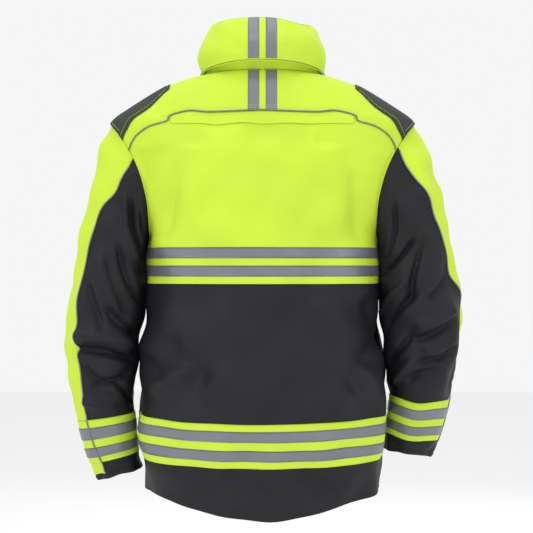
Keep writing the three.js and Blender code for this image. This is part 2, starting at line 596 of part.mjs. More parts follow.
// ---- Sleeves: rings between an inner and an outer line --------------------------------------------------
// Each row: inner x, inner z, outer x, outer z, middle y, half depth.
const SLEEVE_ROWS = {
  left: [
    [204, -292, 270, -86, 0, 74], [206, -301, 288, -128, 0, 76], [208, -318, 302, -185, 1, 78],
    [210, -346, 317, -252, 2, 78], [214, -388, 331, -318, 4, 77], [219, -432, 343, -392, 6, 75],
    [227, -490, 353, -475, 7, 72], [232, -548, 348, -550, 2, 67], [231, -604, 334, -618, -10, 61],
    [228, -658, 320, -678, -26, 55], [223, -697, 307, -719, -38, 51], [218, -711, 303, -734, -42, 50],
  ],
  right: [
    [204, -292, 270, -86, 0, 74], [206, -299, 290, -124, 0, 76], [208, -314, 306, -172, 1, 78],
    [210, -340, 323, -232, 2, 78], [213, -376, 336, -292, 3, 77], [216, -414, 347, -358, 4, 75],
    [219, -462, 356, -436, 4, 73], [225, -520, 347, -512, -4, 69], [231, -574, 337, -582, -22, 62],
    [227, -624, 326, -638, -44, 56], [221, -664, 314, -679, -62, 52], [219, -679, 309, -694, -68, 51],
  ],
};
// How far the bright outer panel reaches behind and in front, as angles from the outermost line.
const BRIGHT_EDGES = {
  left: [
    profile([[0, 70], [1.5, 72], [2.8, 55], [5.1, 48], [7, 63], [8.06, 58], [9.5, 62]]),
    profile([[0, 62], [11, 52]]),
  ],
  right: [
    profile([[0, 57], [1, 62], [2.8, 54], [4, 46], [4.9, 38], [5.8, 12], [7, 6], [11, 2]]),
    profile([[0, 62], [5, 66], [11, 92]]),
  ],
};
const SLEEVE_SQUARENESS = 2.3;
const CUFF_ROW = 10.2;
const SLEEVE_BAND = [8.06, 9.5];
const OUTER_CELLS = 4;
const UNDER_CELLS = 12;

function sleeveOf(side) {
  const sign = side === "left" ? 1 : -1;
  const column = (k) => profile(SLEEVE_ROWS[side].map((row, i) => [i, row[k]]));
  const [innerX, innerZ, outerX, outerZ, middleY, halfDepth] = range(5).map(column);
  const table = (angle, v) => {
    const [cos, sin] = [Math.cos(angle), Math.sin(angle)];
    const spread = Math.abs(cos) ** SLEEVE_SQUARENESS + Math.abs(sin) ** SLEEVE_SQUARENESS;
    const reach = spread ** (-1 / SLEEVE_SQUARENESS);
    const across = (a, b) => (a + b) / 2 + ((a - b) / 2) * reach * cos;
    return new THREE.Vector3(
      across(outerX(v), innerX(v)),
      middleY(v) + halfDepth(v) * reach * sin,
      across(outerZ(v), innerZ(v)),
    );
  };
  // The armhole, on the body surface, that the sleeve head starts from.
  const armhole = (angle) => {
    const level = armMiddle + pitToTip * Math.cos(angle);
    const y = (Math.sin(angle) > 0 ? ARM_BACK : ARM_FRONT) * Math.sin(angle);
    const x = widthAt(level, y);
    return bodyPoint(Math.atan2(y, x), level);
  };
  const lean = new THREE.Vector3(outerZ(0) - innerZ(0), 0, innerX(0) - outerX(0)).normalize();
  const point = (angle, v) => {
    const p = table(angle, v);
    const held = 1 - smooth(v / SLEEVE_FREE);
    p.addScaledVector(armhole(angle).sub(table(angle, 0)).addScaledVector(lean, SLEEVE_CAP_GAP), held);
    return p.multiply(new THREE.Vector3(sign, 1, 1));
  };
  const middle = (v) =>
    new THREE.Vector3((sign * (innerX(v) + outerX(v))) / 2, middleY(v), (innerZ(v) + outerZ(v)) / 2);
  return { point, middle, edges: BRIGHT_EDGES[side] };
}

function addSleeve(side) {
  const { point, middle, edges } = sleeveOf(side);
  const degree = Math.PI / 180;
  const angles = {
    outer: (v) => even(-edges[1](v) * degree, edges[0](v) * degree, OUTER_CELLS),
    under: (v) => even(edges[0](v) * degree, 2 * Math.PI - edges[1](v) * degree, UNDER_CELLS),
  };
  const row = (v, list, inset = 0) =>
    list.map((angle, i) => {
      const shift = i === 0 ? inset : i === list.length - 1 ? -inset : 0;
      return surfel(point, angle + shift, v, (p) => p.clone().sub(middle(v)));
    });
  const hoop = (v) => row(v, [...angles.outer(v), ...angles.under(v).slice(1, -1)]);
  // Hoops between two panel rows are read off the flat facets, as the belts on the body are.
  const hoopBetween = (v, foot, top) => {
    const [a, b] = [hoop(foot), hoop(top)];
    const t = (v - foot) / (top - foot);
    return a.map((q, i) => ({ p: q.p.clone().lerp(b[i].p, t), n: q.n.clone().lerp(b[i].n, t).normalize() }));
  };
  const seam = 0.004;
  const tubeRows = [SLEEVE_FREE + seam, 4, 5, 6, 7, ...SLEEVE_BAND, CUFF_ROW - seam];
  const inset = SEAM_GAP / 2 / 60;
  const panel = (part) => tubeRows.map((v) => row(v, angles[part](v), inset));
  add(`sleeve_head_${side}`, sheet([0, 1, 2, SLEEVE_FREE - seam].map(hoop), 0, -SHELL, true), DARK);
  add(`sleeve_outer_${side}`, sheet(panel("outer"), 0, -SHELL), BRIGHT);
  add(`sleeve_under_${side}`, sheet(panel("under"), 0, -SHELL), DARK);
  add(`cuff_${side}`, sheet([CUFF_ROW + seam, 11].map(hoop), 0, -SHELL, true), DARK);

  const bandHoops = BAND_STEPS.map((d) => hoopBetween(lerp(...SLEEVE_BAND, d / BAND_WIDTH), ...SLEEVE_BAND));
  add(`sleeve_band_${side}`, sheet(bandHoops, SLEEVE_LAY + TRIM, SLEEVE_LAY, true), BRIGHT);
  const lift = SLEEVE_LAY + TRIM + LAY_GAP;
  const tape = (from) => sheet(bandHoops.slice(from, from + 2), lift + TRIM, lift, true);
  add(`sleeve_tape_upper_${side}`, tape(1), SILVER);
  add(`sleeve_tape_lower_${side}`, tape(3), SILVER);
  const pipeRows = [-0.03, 0.03].map((turn) =>
    [SLEEVE_FREE + 0.05, 4, 5, 6, 7, SLEEVE_BAND[0] - 0.05].map((v) =>
      surfel(point, edges[0](v) * degree + turn, v, (p) => p.clone().sub(middle(v))),
    ),
  );
  add(`sleeve_piping_${side}`, sheet(pipeRows, LAY_GAP + 1.8, LAY_GAP), SILVER);
}
addSleeve("left");
addSleeve("right");

export default coat;
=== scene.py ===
"""A high-visibility turnout coat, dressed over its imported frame: draped shell cloth, trims, stitching and finishes."""
import math

import bpy
import numpy as np
from bpy.props import FloatProperty, FloatVectorProperty, IntProperty
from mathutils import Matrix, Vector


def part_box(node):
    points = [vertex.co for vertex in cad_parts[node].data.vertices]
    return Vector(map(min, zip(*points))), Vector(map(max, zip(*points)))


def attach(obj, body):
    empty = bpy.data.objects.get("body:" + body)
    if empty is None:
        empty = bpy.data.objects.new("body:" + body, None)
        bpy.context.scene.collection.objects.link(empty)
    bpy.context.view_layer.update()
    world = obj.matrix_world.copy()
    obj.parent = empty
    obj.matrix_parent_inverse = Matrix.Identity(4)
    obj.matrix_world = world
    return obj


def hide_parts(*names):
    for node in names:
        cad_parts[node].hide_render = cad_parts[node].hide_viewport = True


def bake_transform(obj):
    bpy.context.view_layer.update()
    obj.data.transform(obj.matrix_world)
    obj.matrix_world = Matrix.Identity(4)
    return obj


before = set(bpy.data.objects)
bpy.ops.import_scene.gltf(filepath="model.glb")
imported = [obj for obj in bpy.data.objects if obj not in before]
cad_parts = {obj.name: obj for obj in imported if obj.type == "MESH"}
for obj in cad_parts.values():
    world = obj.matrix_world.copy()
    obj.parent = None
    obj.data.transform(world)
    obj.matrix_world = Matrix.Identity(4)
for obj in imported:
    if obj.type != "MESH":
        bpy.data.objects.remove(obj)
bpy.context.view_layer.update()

bl_info = {
    "name": "Turnout Coat",
    "version": (1, 0, 0),
    "blender": (4, 5, 0),
    "location": "View3D > Sidebar > Coat",
    "description": "Dresses a turnout coat's frame in draped cloth, reflective trims, zips and stitching",
    "category": "Add Mesh",
}

MM = 0.001


def level(node, top):
    """The height of a frame node's foot (top 0) or head (top 1)."""
    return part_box(node)[top].z


NECK_HALF = 100 * MM
NECK_FRONT = 110.6 * MM  # from the origin to the closure line, level with the neck
FRONT_LEAN = 0.0625  # the closure leans back this much per unit of height
NECK_DROP = 48 * MM  # the neck seam is this much lower in front
CHEST_LINE = level("upper_back_panel", 0)
HEM_SIDE = level("lower_front_left", 0)
HEM_TAIL = HEM_SIDE - level("lower_back_panel", 0)
BAND = (level("hem_band", 0), level("hem_band", 1))
ARM_TIP, ARM_PIT = -86 * MM, -292 * MM  # highest and lowest level of the armhole
ARM_BACK, ARM_FRONT = 75 * MM, 68 * MM  # its half depth behind and in front
CLOSURE_HALF = 12 * MM
TAPE = 19 * MM
TAPE_EDGE = 12 * MM
TAU = 2 * math.pi


# ---- Curves and grids ----------------------------------------------------------------------------------


def curve(pairs, unit=MM):
    """A smooth monotone curve through (x, y) pairs, x in millimetres, held level past its ends: on each stretch the
    cubic whose end slopes are the harmonic means of the neighbouring chords' slopes."""
    x, y = np.array(pairs, float).T * np.array([[MM], [unit]])
    chord = np.diff(y) / np.diff(x)
    slope = np.concatenate([chord[:1], np.zeros(len(x) - 2), chord[-1:]])
    a, b = chord[:-1], chord[1:]
    turns = a * b > 0
    slope[1:-1][turns] = 2 * a[turns] * b[turns] / (a + b)[turns]

    def at(value):
        value = np.clip(value, x[0], x[-1])
        i = np.clip(np.searchsorted(x, value, side="right") - 1, 0, len(x) - 2)
        width = x[i + 1] - x[i]
        t = (value - x[i]) / width
        return (
            y[i] * (2 * t**3 - 3 * t**2 + 1)
            + slope[i] * width * (t**3 - 2 * t**2 + t)
            + y[i + 1] * (3 * t**2 - 2 * t**3)
            + slope[i + 1] * width * (t**3 - t**2)
        )

    return at


def smooth(t):
    """0 below 0, 1 above 1, and 3t^2 - 2t^3 between."""
    t = np.clip(t, 0, 1)
    return t * t * (3 - 2 * t)


def unit(v):
    return v / np.maximum(np.linalg.norm(v, axis=-1, keepdims=True), 1e-12)


def normals(grid, ring=False):
    """Unit normals of a grid of points: the cross product of its differences along the columns and the rows."""
    if ring:
        wide = np.concatenate([grid[:, -1:], grid, grid[:, :1]], axis=1)
        across = (wide[:, 2:] - wide[:, :-2]) / 2
    else:
        across = np.gradient(grid, axis=1)
    return unit(np.cross(across, np.gradient(grid, axis=0)))


def read_grid(grid, row, column, ring=False):
    """Points read off a grid at fractional rows and columns by the Catmull-Rom spline through its points; the grid
    is carried on in straight lines past its edges, or round itself where it is a ring."""
    rows, columns = grid.shape[:2]
    if ring:
        wide = np.concatenate([grid[:, -1:], grid, grid[:, :2]], axis=1)
    else:
        wide = np.concatenate([2 * grid[:, :1] - grid[:, 1:2], grid, 2 * grid[:, -1:] - grid[:, -2:-1]], axis=1)
    tall = np.concatenate([2 * wide[:1] - wide[1:2], wide, 2 * wide[-1:] - wide[-2:-1]])
    last = columns - (0 if ring else 1)
    i = np.clip(np.floor(row).astype(int), 0, rows - 2)
    j = np.clip(np.floor(column).astype(int), 0, last - 1)

    def weights(t):
        return [
            (-t + 2 * t**2 - t**3) / 2,
            (2 - 5 * t**2 + 3 * t**3) / 2,
            (t + 4 * t**2 - 3 * t**3) / 2,
            (t**3 - t**2) / 2,
        ]

    down, along = weights(row - i), weights(column - j)
    return sum(
        (down[a] * along[b])[..., None] * tall[i + a, j + b]
        for a in range(4)
        for b in range(4)
    )


def grid_faces(rows, columns, ring=False, start=0):
    """The quads of a grid of vertices, counted row by row from start."""
    i, j = np.meshgrid(np.arange(rows - 1), np.arange(columns if ring else columns - 1), indexing="ij")
    k = (j + 1) % columns
    return (start + np.stack([i * columns + j, i * columns + k, (i + 1) * columns + k, (i + 1) * columns + j], -1)).reshape(-1, 4)


def cloth_name(name):
    """A piece that is dressed over the frame's part of the same name is told apart from it."""
    return name + "_cloth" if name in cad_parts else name


def make_piece(name, vertices, faces, material, uv=None, body="coat", flat=False):
    """A mesh object from arrays, shaded smooth, with an optional UV pair for each vertex."""
    mesh = bpy.data.meshes.new(name)
    mesh.from_pydata(vertices.reshape(-1, 3).tolist(), [], faces.tolist())
    mesh.polygons.foreach_set("use_smooth", np.full(len(mesh.polygons), not flat))
    if uv is not None:
        corner = np.empty(len(mesh.loops), np.int32)
        mesh.loops.foreach_get("vertex_index", corner)
        layer = mesh.uv_layers.new(name="cloth")
        layer.data.foreach_set("uv", uv.reshape(-1, 2)[corner].astype(np.float32).ravel())
    mesh.materials.append(material)
    piece = bpy.data.objects.new(cloth_name(name), mesh)
    bpy.context.scene.collection.objects.link(piece)
    if body:
        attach(piece, body)
    return piece


def cloth_uv(grid):
    """UV in metres: lengths along the middle row and the middle column."""
    rows, columns = grid.shape[:2]
    across = np.linalg.norm(np.diff(grid[rows // 2], axis=0), axis=-1)
    down = np.linalg.norm(np.diff(grid[:, columns // 2], axis=0), axis=-1)
    u, v = np.concatenate([[0], np.cumsum(across)]), np.concatenate([[0], np.cumsum(down)])
    return np.stack(np.meshgrid(u, v), -1)


def sheet_arrays(grid, outer, inner, ring=False, outward=None):
    """A closed sheet: the grid moved out along its normals by outer and in by inner (numbers or arrays), joined by
    a rim along its edges. Returns the vertices, faces and UVs. outward is a point that the normals point away from."""
    n = normals(grid, ring)
    centre = grid.mean(axis=(0, 1)) if outward is None else np.asarray(outward)
    if np.sum(n * (grid - centre)) < 0:
        n = -n
    rows, columns = grid.shape[:2]
    outer, inner = (np.broadcast_to(np.asarray(v, float), (rows, columns))[..., None] for v in (outer, inner))
    top, bottom = grid + n * outer, grid + n * inner
    size = rows * columns
    face = grid_faces(rows, columns, ring)
    wound = np.cross(top[0, 1] - top[0, 0], top[1, 0] - top[0, 0]) @ n[0, 0] > 0
    up = face if wound else face[:, ::-1]
    parts = [up, up[:, ::-1] + size]
    index = np.arange(size).reshape(rows, columns)
    edges = [(index[0], False), (index[-1], True)]
    if not ring:
        edges += [(index[:, 0], True), (index[:, -1], False)]
    for line, turned in edges:
        nxt = np.roll(line, -1) if ring else line[1:]
        here = line if ring else line[:-1]
        rim = np.stack([here, here + size, nxt + size, nxt], -1)
        parts.append(rim if turned == wound else rim[:, ::-1])
    faces = np.concatenate(parts)
    vertices = np.concatenate([top.reshape(-1, 3), bottom.reshape(-1, 3)])
    uv = cloth_uv(grid).reshape(-1, 2)
    return vertices, faces, np.concatenate([uv, uv])


def make_sheet(name, grid, outer, inner, material, ring=False, body="coat", outward=None):
    vertices, faces, uv = sheet_arrays(grid, outer, inner, ring, outward)
    return make_piece(name, vertices, faces, material, uv, body)


# ---- The coat's shape ----------------------------------------------------------------------------------

HALF_WIDTH = curve(
    [(-790, 202), (-740, 208), (-690, 214), (-620, 219), (-540, 220), (-450, 211), (-376, 204), (-300, 203),
     (-250, 212), (-200, 229), (-150, 248), (-110, 263), (-86, 271), (-77, 264), (-62, 243), (-48, 222),
     (-34, 200), (-19, 173), (-9, 145), (-3, 120), (0, NECK_HALF / MM)]
)
BACK_DEPTH = curve(
    [(-790, 138), (-740, 144), (-690, 150), (-620, 154), (-540, 152), (-450, 147), (-376, 144), (-300, 144),
     (-200, 142), (-150, 138), (-110, 131), (-84, 123), (-62, 116), (-34, 104), (-9, 88), (0, 80)]
)
SQUARENESS = curve([(-790, 2.5), (-300, 2.6), (-120, 2.5), (-40, 2.2), (0, 2.1)], 1)


def neck_drop(height):
    return NECK_DROP * smooth((height - ARM_PIT) / -ARM_PIT)


def front_depth(height):
    return NECK_FRONT - FRONT_LEAN * (height - neck_drop(height))


def body_point(angle, height):
    """A level ring of the torso: the superellipse through the half width and the depth at that height. The rings
    drop towards the front as they near the neck."""
    cos, sin = np.cos(angle), np.sin(angle)
    power = SQUARENESS(height)
    depth = np.where(sin > 0, BACK_DEPTH(height), front_depth(height))
    reach = (np.abs(cos / HALF_WIDTH(height)) ** power + np.abs(sin / depth) ** power) ** (-1 / power)
    drop = neck_drop(height) * ((1 - sin) / 2) ** 2.5
    return np.stack([reach * cos, reach * sin, height - drop], -1)


def width_at(height, y):
    depth = np.where(y > 0, BACK_DEPTH(height), front_depth(height))
    power = SQUARENESS(height)
    return HALF_WIDTH(height) * np.maximum(0, 1 - np.abs(y / depth) ** power) ** (1 / power)


ARM_HALF = (ARM_TIP - ARM_PIT) / 2
ARM_MIDDLE = (ARM_TIP + ARM_PIT) / 2


def arm_angle(height, reach):
    """The turn from the side seam to the armhole's edge: the edge lies on an ellipse seen from the side."""
    u = np.clip((height - ARM_MIDDLE) / ARM_HALF, -1, 1)
    y = reach * np.sqrt(1 - u * u)
    return np.arctan2(np.abs(y), width_at(height, y))


def gore_point(gore, s, height):
    """A point of one of the three lengths of cloth. s runs from the left side to the right behind, and from the
    side to the closure in front."""
    if gore == "back":
        edge = arm_angle(height, ARM_BACK)
        return body_point(edge + (math.pi - 2 * edge) * s, height)
    side = -arm_angle(height, -ARM_FRONT)
    closure = -math.pi / 2 + CLOSURE_HALF / front_depth(height)
    point = body_point(side + (closure - side) * s, height)
    return point * [1 if gore == "left" else -1, 1, 1]


def hem_level(gore, s):
    return HEM_SIDE - (HEM_TAIL * np.sin(math.pi * s) ** 2 if gore == "back" else 0 * s)


ROWS = 107
COLUMNS = {"back": 83, "left": 41, "right": 41}
SKIRT_SHARE = (BAND[1] - HEM_SIDE) / -HEM_SIDE


def height_of(gore, s, q):
    """The height of the cloth a share q of the way up: the skirt below the band is stretched to the hem."""
    skirt = hem_level(gore, s) + (BAND[1] - hem_level(gore, s)) * q / SKIRT_SHARE
    return np.where(q < SKIRT_SHARE, skirt, BAND[1] - BAND[1] * (q - SKIRT_SHARE) / (1 - SKIRT_SHARE))


def share_of(gore, s, height):
    """The inverse of height_of."""
    skirt = SKIRT_SHARE * (height - hem_level(gore, s)) / (BAND[1] - hem_level(gore, s))
    return np.where(height < BAND[1], skirt, SKIRT_SHARE + (1 - SKIRT_SHARE) * (height - BAND[1]) / -BAND[1])


def gore_grid(gore):
    s, q = np.meshgrid(np.linspace(0, 1, COLUMNS[gore]), np.linspace(0, 1, ROWS))
    height = height_of(gore, s, q)
    return gore_point(gore, s, height), s, height


# Sleeves: each row is a ring between an inner and an outer line, with its middle's depth and its half depth.
SLEEVE_ROWS = {
    "left": [
        (204, -292, 270, -86, 0, 74), (206, -301, 288, -128, 0, 76), (208, -318, 302, -185, 1, 78),
        (210, -346, 317, -252, 2, 78), (214, -388, 331, -318, 4, 77), (219, -432, 343, -392, 6, 75),
        (227, -490, 353, -475, 7, 72), (232, -548, 348, -550, 2, 67), (231, -604, 334, -618, -10, 61),
        (228, -658, 320, -678, -26, 55), (223, -697, 307, -719, -38, 51), (218, -711, 303, -734, -42, 50),
    ],
    "right": [
        (204, -292, 270, -86, 0, 74), (206, -299, 290, -124, 0, 76), (208, -314, 306, -172, 1, 78),
        (210, -340, 323, -232, 2, 78), (213, -376, 336, -292, 3, 77), (216, -414, 347, -358, 4, 75),
        (219, -462, 356, -436, 4, 73), (225, -520, 347, -512, -4, 69), (231, -574, 337, -582, -22, 62),
        (227, -624, 326, -638, -44, 56), (221, -664, 314, -679, -62, 52), (219, -679, 309, -694, -68, 51),
    ],
}
# Angles, in degrees from the outermost line, that the bright panel reaches behind and in front.
BRIGHT_EDGE = {
    "left": (
        curve([(0, 70), (1500, 72), (2800, 55), (5100, 48), (7000, 63), (8200, 57), (9500, 66)], 1),
        curve([(0, 62), (11e3, 52)], 1),
    ),
    "right": (
        curve([(0, 57), (1000, 62), (2800, 54), (4000, 46), (4900, 38), (5800, 12), (7000, 6), (11e3, 2)], 1),
        curve([(0, 62), (5000, 66), (11e3, 92)], 1),
    ),
}
SLEEVE_POWER = 2.3
# How far the cloth under the arm lies in towards the body, by row.
ARM_REST = curve([(0, 0), (1, 0.3), (2, 2), (3, 4), (4, 6.5), (5, 6.5), (6, 5), (7, 3), (8, 0)])
SLEEVE_FREE = 3
CUFF_ROW = 10.2
SLEEVE_BAND = (8.06, 9.5)
RING_STEPS, RING_ROWS = 96, 133
SIGN = {"left": 1, "right": -1}


def sleeve_point(side, angle, v):
    """A ring of the sleeve at v, counted in rows from the armhole: a superellipse between the inner and the outer
    line, blended near the armhole into the armhole's own curve on the torso."""
    columns = np.array(SLEEVE_ROWS[side], float).T
    inner_x, inner_z, outer_x, outer_z, middle_y, half_y = (
        curve(list(zip(np.arange(len(column)) / MM, column)))(v) for column in columns
    )
    cos, sin = np.cos(angle), np.sin(angle)
    reach = (np.abs(cos) ** SLEEVE_POWER + np.abs(sin) ** SLEEVE_POWER) ** (-1 / SLEEVE_POWER)

    def table(ix, iz, ox, oz, my, hy):
        x = (ox + ix) / 2 + (ox - ix) / 2 * reach * cos
        z = (oz + iz) / 2 + (oz - iz) / 2 * reach * cos
        return np.stack([x, my + hy * reach * sin, z], -1)

    start = columns[:, 0] * MM
    height = ARM_MIDDLE + ARM_HALF * cos
    y = np.where(sin > 0, ARM_BACK, ARM_FRONT) * sin
    armhole = body_point(np.arctan2(y, width_at(height, y)), height)
    held = (1 - smooth(v / SLEEVE_FREE))[..., None]
    point = table(inner_x, inner_z, outer_x, outer_z, middle_y, half_y) + held * (armhole - table(*start))
    point[..., 0] -= ARM_REST(v * MM) * ((1 - cos) / 2) ** 3
    return point * [SIGN[side], 1, 1]


def sleeve_grid(side):
    angle, v = np.meshgrid(np.arange(RING_STEPS) * TAU / RING_STEPS, np.linspace(0, 11, RING_ROWS))
    return sleeve_point(side, angle, v), angle, v


# ---- Draping -------------------------------------------------------------------------------------------

DRAPE_FRAMES = 26
COARSE_NOISE = 1.6 * MM
draped = {}  # the cloth's grids after draping, by gore and by sleeve


def soft_noise(points, size, seed):
    """A smooth field from about -1 to 1: the mean of twelve plane waves of wavelength near size, in seeded
    directions and phases."""
    rng = np.random.default_rng(seed)
    ways = unit(rng.normal(size=(12, 3))) * (TAU / size) * rng.uniform(0.7, 1.4, (12, 1))
    phase = rng.uniform(0, TAU, 12)
    return np.sin(points @ ways.T + phase).sum(-1) / 12**0.5


def fold(across, along, start, end, width, depth, wander=0.0):
    """A ridge (depth above 0) or crease on a patch of cloth, between two points given across and along it in
    metres: a bell curve of power 1.5 across its line, faded out towards its two ends, bowed sideways by wander."""
    (x0, y0), (x1, y1) = start, end
    dx, dy = x1 - x0, y1 - y0
    length = math.hypot(dx, dy)
    t = ((across - x0) * dx + (along - y0) * dy) / length**2
    away = ((along - y0) * dx - (across - x0) * dy) / length - wander * np.sin(math.pi * np.clip(t, 0, 1))
    fade = smooth(t / 0.3 + 0.35) * smooth((1 - t) / 0.3 + 0.35)
    return depth * np.exp(-(np.abs(away / width) ** 1.5)) * fade


def back_folds(points):
    """The slack of the shell behind, as x across and z up: shallow drag lines from the shoulder blades, and the
    hollows above the band at both sides."""
    x, z = points[..., 0] / MM, points[..., 2] / MM
    lines = [
        ((170, -470), (95, -545), 26, -7, 5), ((200, -560), (120, -520), 18, 5, 0), ((215, -500), (150, -560), 14, -5, 4),
        ((-150, -560), (-215, -470), 17, -8, -6), ((-120, -590), (-185, -515), 20, 6, 0), ((-185, -400), (-215, -480), 15, -6, 0),
        ((120, -110), (105, -300), 30, 4, 6), ((-112, -120), (-125, -290), 28, 4, -6), ((150, -170), (165, -300), 16, -4, 0),
        ((-155, -180), (-172, -300), 16, -4, 0), ((30, -140), (22, -330), 40, 3, 0), ((-50, -400), (-85, -590), 45, -4, 8),
        ((60, -400), (40, -600), 48, 4, 0), ((70, -700), (-10, -735), 16, -4, 0), ((-60, -705), (-130, -740), 18, -4, 4),
    ]
    total = 0 * x
    for start, end, width, depth, wander in lines:
        total = total + fold(x, z, start, end, width, depth, wander)
    return total * MM


# Creases and ridges of each sleeve: the degrees round from the outermost line towards the back and the row from
# the armhole of both ends, the width, the depth (in millimetres) and the bow.
SLEEVE_FOLDS = {
    "left": [
        ((96, 1.2), (150, 2.6), 7, -9, 3), ((86, 1.4), (138, 3.2), 8, 6, 3), ((118, 0.9), (165, 2.2), 6, -6, 0),
        ((100, 3.0), (150, 4.6), 9, -8, 6), ((75, 3.6), (118, 5.2), 9, 6, 4), ((58, 4.6), (96, 5.6), 7, -6, 0),
        ((52, 6.15), (150, 6.35), 6, -13, -4), ((50, 5.85), (150, 5.9), 11, 8, -4), ((95, 5.1), (165, 5.7), 9, -8, 5),
        ((66, 6.6), (110, 7.1), 7, -6, 4), ((80, 7.1), (150, 6.7), 7, -7, 6), ((60, 7.5), (120, 7.85), 9, 6, 0),
        ((120, 7.1), (170, 7.8), 8, -7, 0), ((70, 6.9), (140, 7.35), 8, 5, 0),
    ],
    "right": [
        ((100, 1.3), (140, 2.9), 8, -5, 3), ((92, 3.2), (150, 3.6), 7, -9, 3), ((78, 3.5), (112, 5.3), 8, -8, -5),
        ((70, 3.2), (100, 4.9), 9, 6, -4), ((98, 5.0), (160, 5.9), 7, -9, -5), ((112, 4.5), (168, 5.4), 8, 6, -4),
        ((48, 5.0), (84, 5.4), 7, -6, 0), ((44, 6.0), (110, 6.35), 8, -9, 4), ((40, 5.75), (104, 6.0), 10, 7, 4),
        ((38, 6.7), (100, 7.0), 7, -8, 5), ((36, 6.45), (96, 6.7), 9, 6, 4), ((60, 7.2), (120, 7.5), 7, -7, -4),
        ((110, 6.2), (165, 7.0), 8, -8, 4), ((100, 6.7), (150, 7.6), 9, 6, 0),
    ],
}


CREASE_SHARPNESS = 0.8  # the creases' widths are multiplied by this
CUFF_GATHER = 2.2 * MM


def sleeve_slack(side, angle, v, radius=75, row=62):
    """The sleeve's folds, on its cloth laid flat: degrees round times the mean radius, and rows down times their
    height."""
    degrees = np.degrees(angle)
    turn = math.radians(1) * radius
    total = 0 * angle
    for start, end, width, depth, wander in SLEEVE_FOLDS[side]:
        ends = [(a * turn, b * row) for a, b in (start, end)]
        total = total + fold(degrees * turn, v * row, *ends, CREASE_SHARPNESS * width, depth, wander)
    return total * MM


def hold_of(gore, s, height):
    """How firmly the torso's cloth keeps its place, from 0 to 1: held at the neck, the shoulders, the armholes and
    the closure, and slack below."""
    shoulder = smooth((height + 160 * MM) / (110 * MM))
    closure = 0 if gore == "back" else smooth((s - 0.8) / 0.15)
    side = np.minimum(s, 1 - s) if gore == "back" else s
    armhole = (1 - smooth(side / 0.05)) * (height > ARM_PIT - 8 * MM)
    patch = smooth((height + 155 * MM) / (25 * MM)) * (1 - smooth((side - 0.24) / 0.08))
    band = 0.5 * smooth((BAND[1] + 15 * MM - height) / (20 * MM)) * smooth((height - BAND[0] + 15 * MM) / (20 * MM))
    return np.clip(np.maximum.reduce([0.42 + 0 * s, shoulder, patch, closure + 0 * s, armhole, 0.42 + 0.3 * band]), 0, 1)


def drape():
    """Hangs the whole shell once: the three lengths of the body, sewn at the sides and shoulders, and both sleeves.
    The cloth is cut a little larger than the shape it hangs on, so it falls into folds, and each point is then kept
    within a few millimetres of that shape."""
    points, cut, hold, faces, lots, creases = [], [], [], [], {}, {}
    count = 0
    for gore in COLUMNS:
        grid, s, height = gore_grid(gore)
        n = normals(grid)
        n = n * np.sign(np.sum(n * (grid * [1, 1, 0])))
        slack = soft_noise(grid, 90 * MM, 5) * COARSE_NOISE
        if gore == "back":
            slack = slack + back_folds(grid)
        free = 1 - smooth((hold_of(gore, s, height) - 0.45) / 0.4)
        start = grid + n * (slack * free)[..., None]
        grown = start * [1.012, 1.012, 1.022]
        index = count + np.arange(grid[..., 0].size).reshape(grid.shape[:2])
        lots[gore] = (index, grid, n)
        creases[gore] = n * (1.9 * slack * free)[..., None]
        points.append(start.reshape(-1, 3))
        cut.append(grown.reshape(-1, 3))
        hold.append(hold_of(gore, s, height).ravel())
        count += index.size
    for side in SIGN:
        grid, angle, v = sleeve_grid(side)
        n = normals(grid, True)
        n = n * np.sign(np.sum(n * (grid - grid.mean(1, keepdims=True))))
        ends = smooth(v / 0.9) * smooth((SLEEVE_BAND[0] + 0.15 - v) / 0.7)
        slack = sleeve_slack(side, angle, v) + soft_noise(grid, 70 * MM, 8) * COARSE_NOISE
        start = grid + n * (slack * ends)[..., None]
        middle = start.mean(1, keepdims=True)
        step = np.diff(middle, axis=0)
        slackness = 1 + 0.055 * ends[1:, :1, None]
        line = np.concatenate([middle[:1], middle[:1] + np.cumsum(step * slackness, axis=0)])
        grown = line + (start - middle) * 1.012
        index = count + np.arange(grid[..., 0].size).reshape(grid.shape[:2])
        lots[side + "_sleeve"] = (index, grid, n)
        gathers = soft_noise(grid * [1, 1, 0.3], 34 * MM, 21) * CUFF_GATHER * smooth((v - SLEEVE_BAND[1] + 0.1) / 0.6)
        creases[side + "_sleeve"] = n * (1.3 * slack * ends + gathers)[..., None]
        points.append(start.reshape(-1, 3))
        cut.append(grown.reshape(-1, 3))
        hold.append((1 - 0.6 * ends).ravel())
        count += index.size
    # The side and shoulder seams: the fronts' first columns are the back's first and last ones.
    joins = np.arange(count)
    height = height_of("back", np.zeros(ROWS), np.linspace(0, 1, ROWS))
    sewn = (height <= ARM_PIT) | (height >= ARM_TIP)
    joins[lots["left"][0][sewn, 0]] = lots["back"][0][sewn, 0]
    joins[lots["right"][0][sewn, 0]] = lots["back"][0][sewn, -1]
    for key, (index, grid, _) in lots.items():
        faces.append(joins[grid_faces(*grid.shape[:2], "sleeve" in key, index[0, 0])])
    used, joins = np.unique(joins, return_inverse=True)
    faces = joins.ravel()[np.concatenate([f.reshape(-1) for f in faces])].reshape(-1, 4)
    points, cut, hold = (np.concatenate(part)[used] for part in (points, cut, hold))
    moved = hang_cloth(points, cut, hold, faces)
    for key, (index, grid, n) in lots.items():
        draped[key] = keep_close(moved[joins.ravel()[index]] + creases[key], grid)


def keep_close(moved, grid, reach=20 * MM):
    """Draws each point back so that it stays within reach of the shape, more firmly the further it strayed."""
    shift = moved - grid
    far = np.linalg.norm(shift, axis=-1, keepdims=True)
    return grid + shift * np.tanh(far / reach) / np.maximum(far / reach, 1e-9)


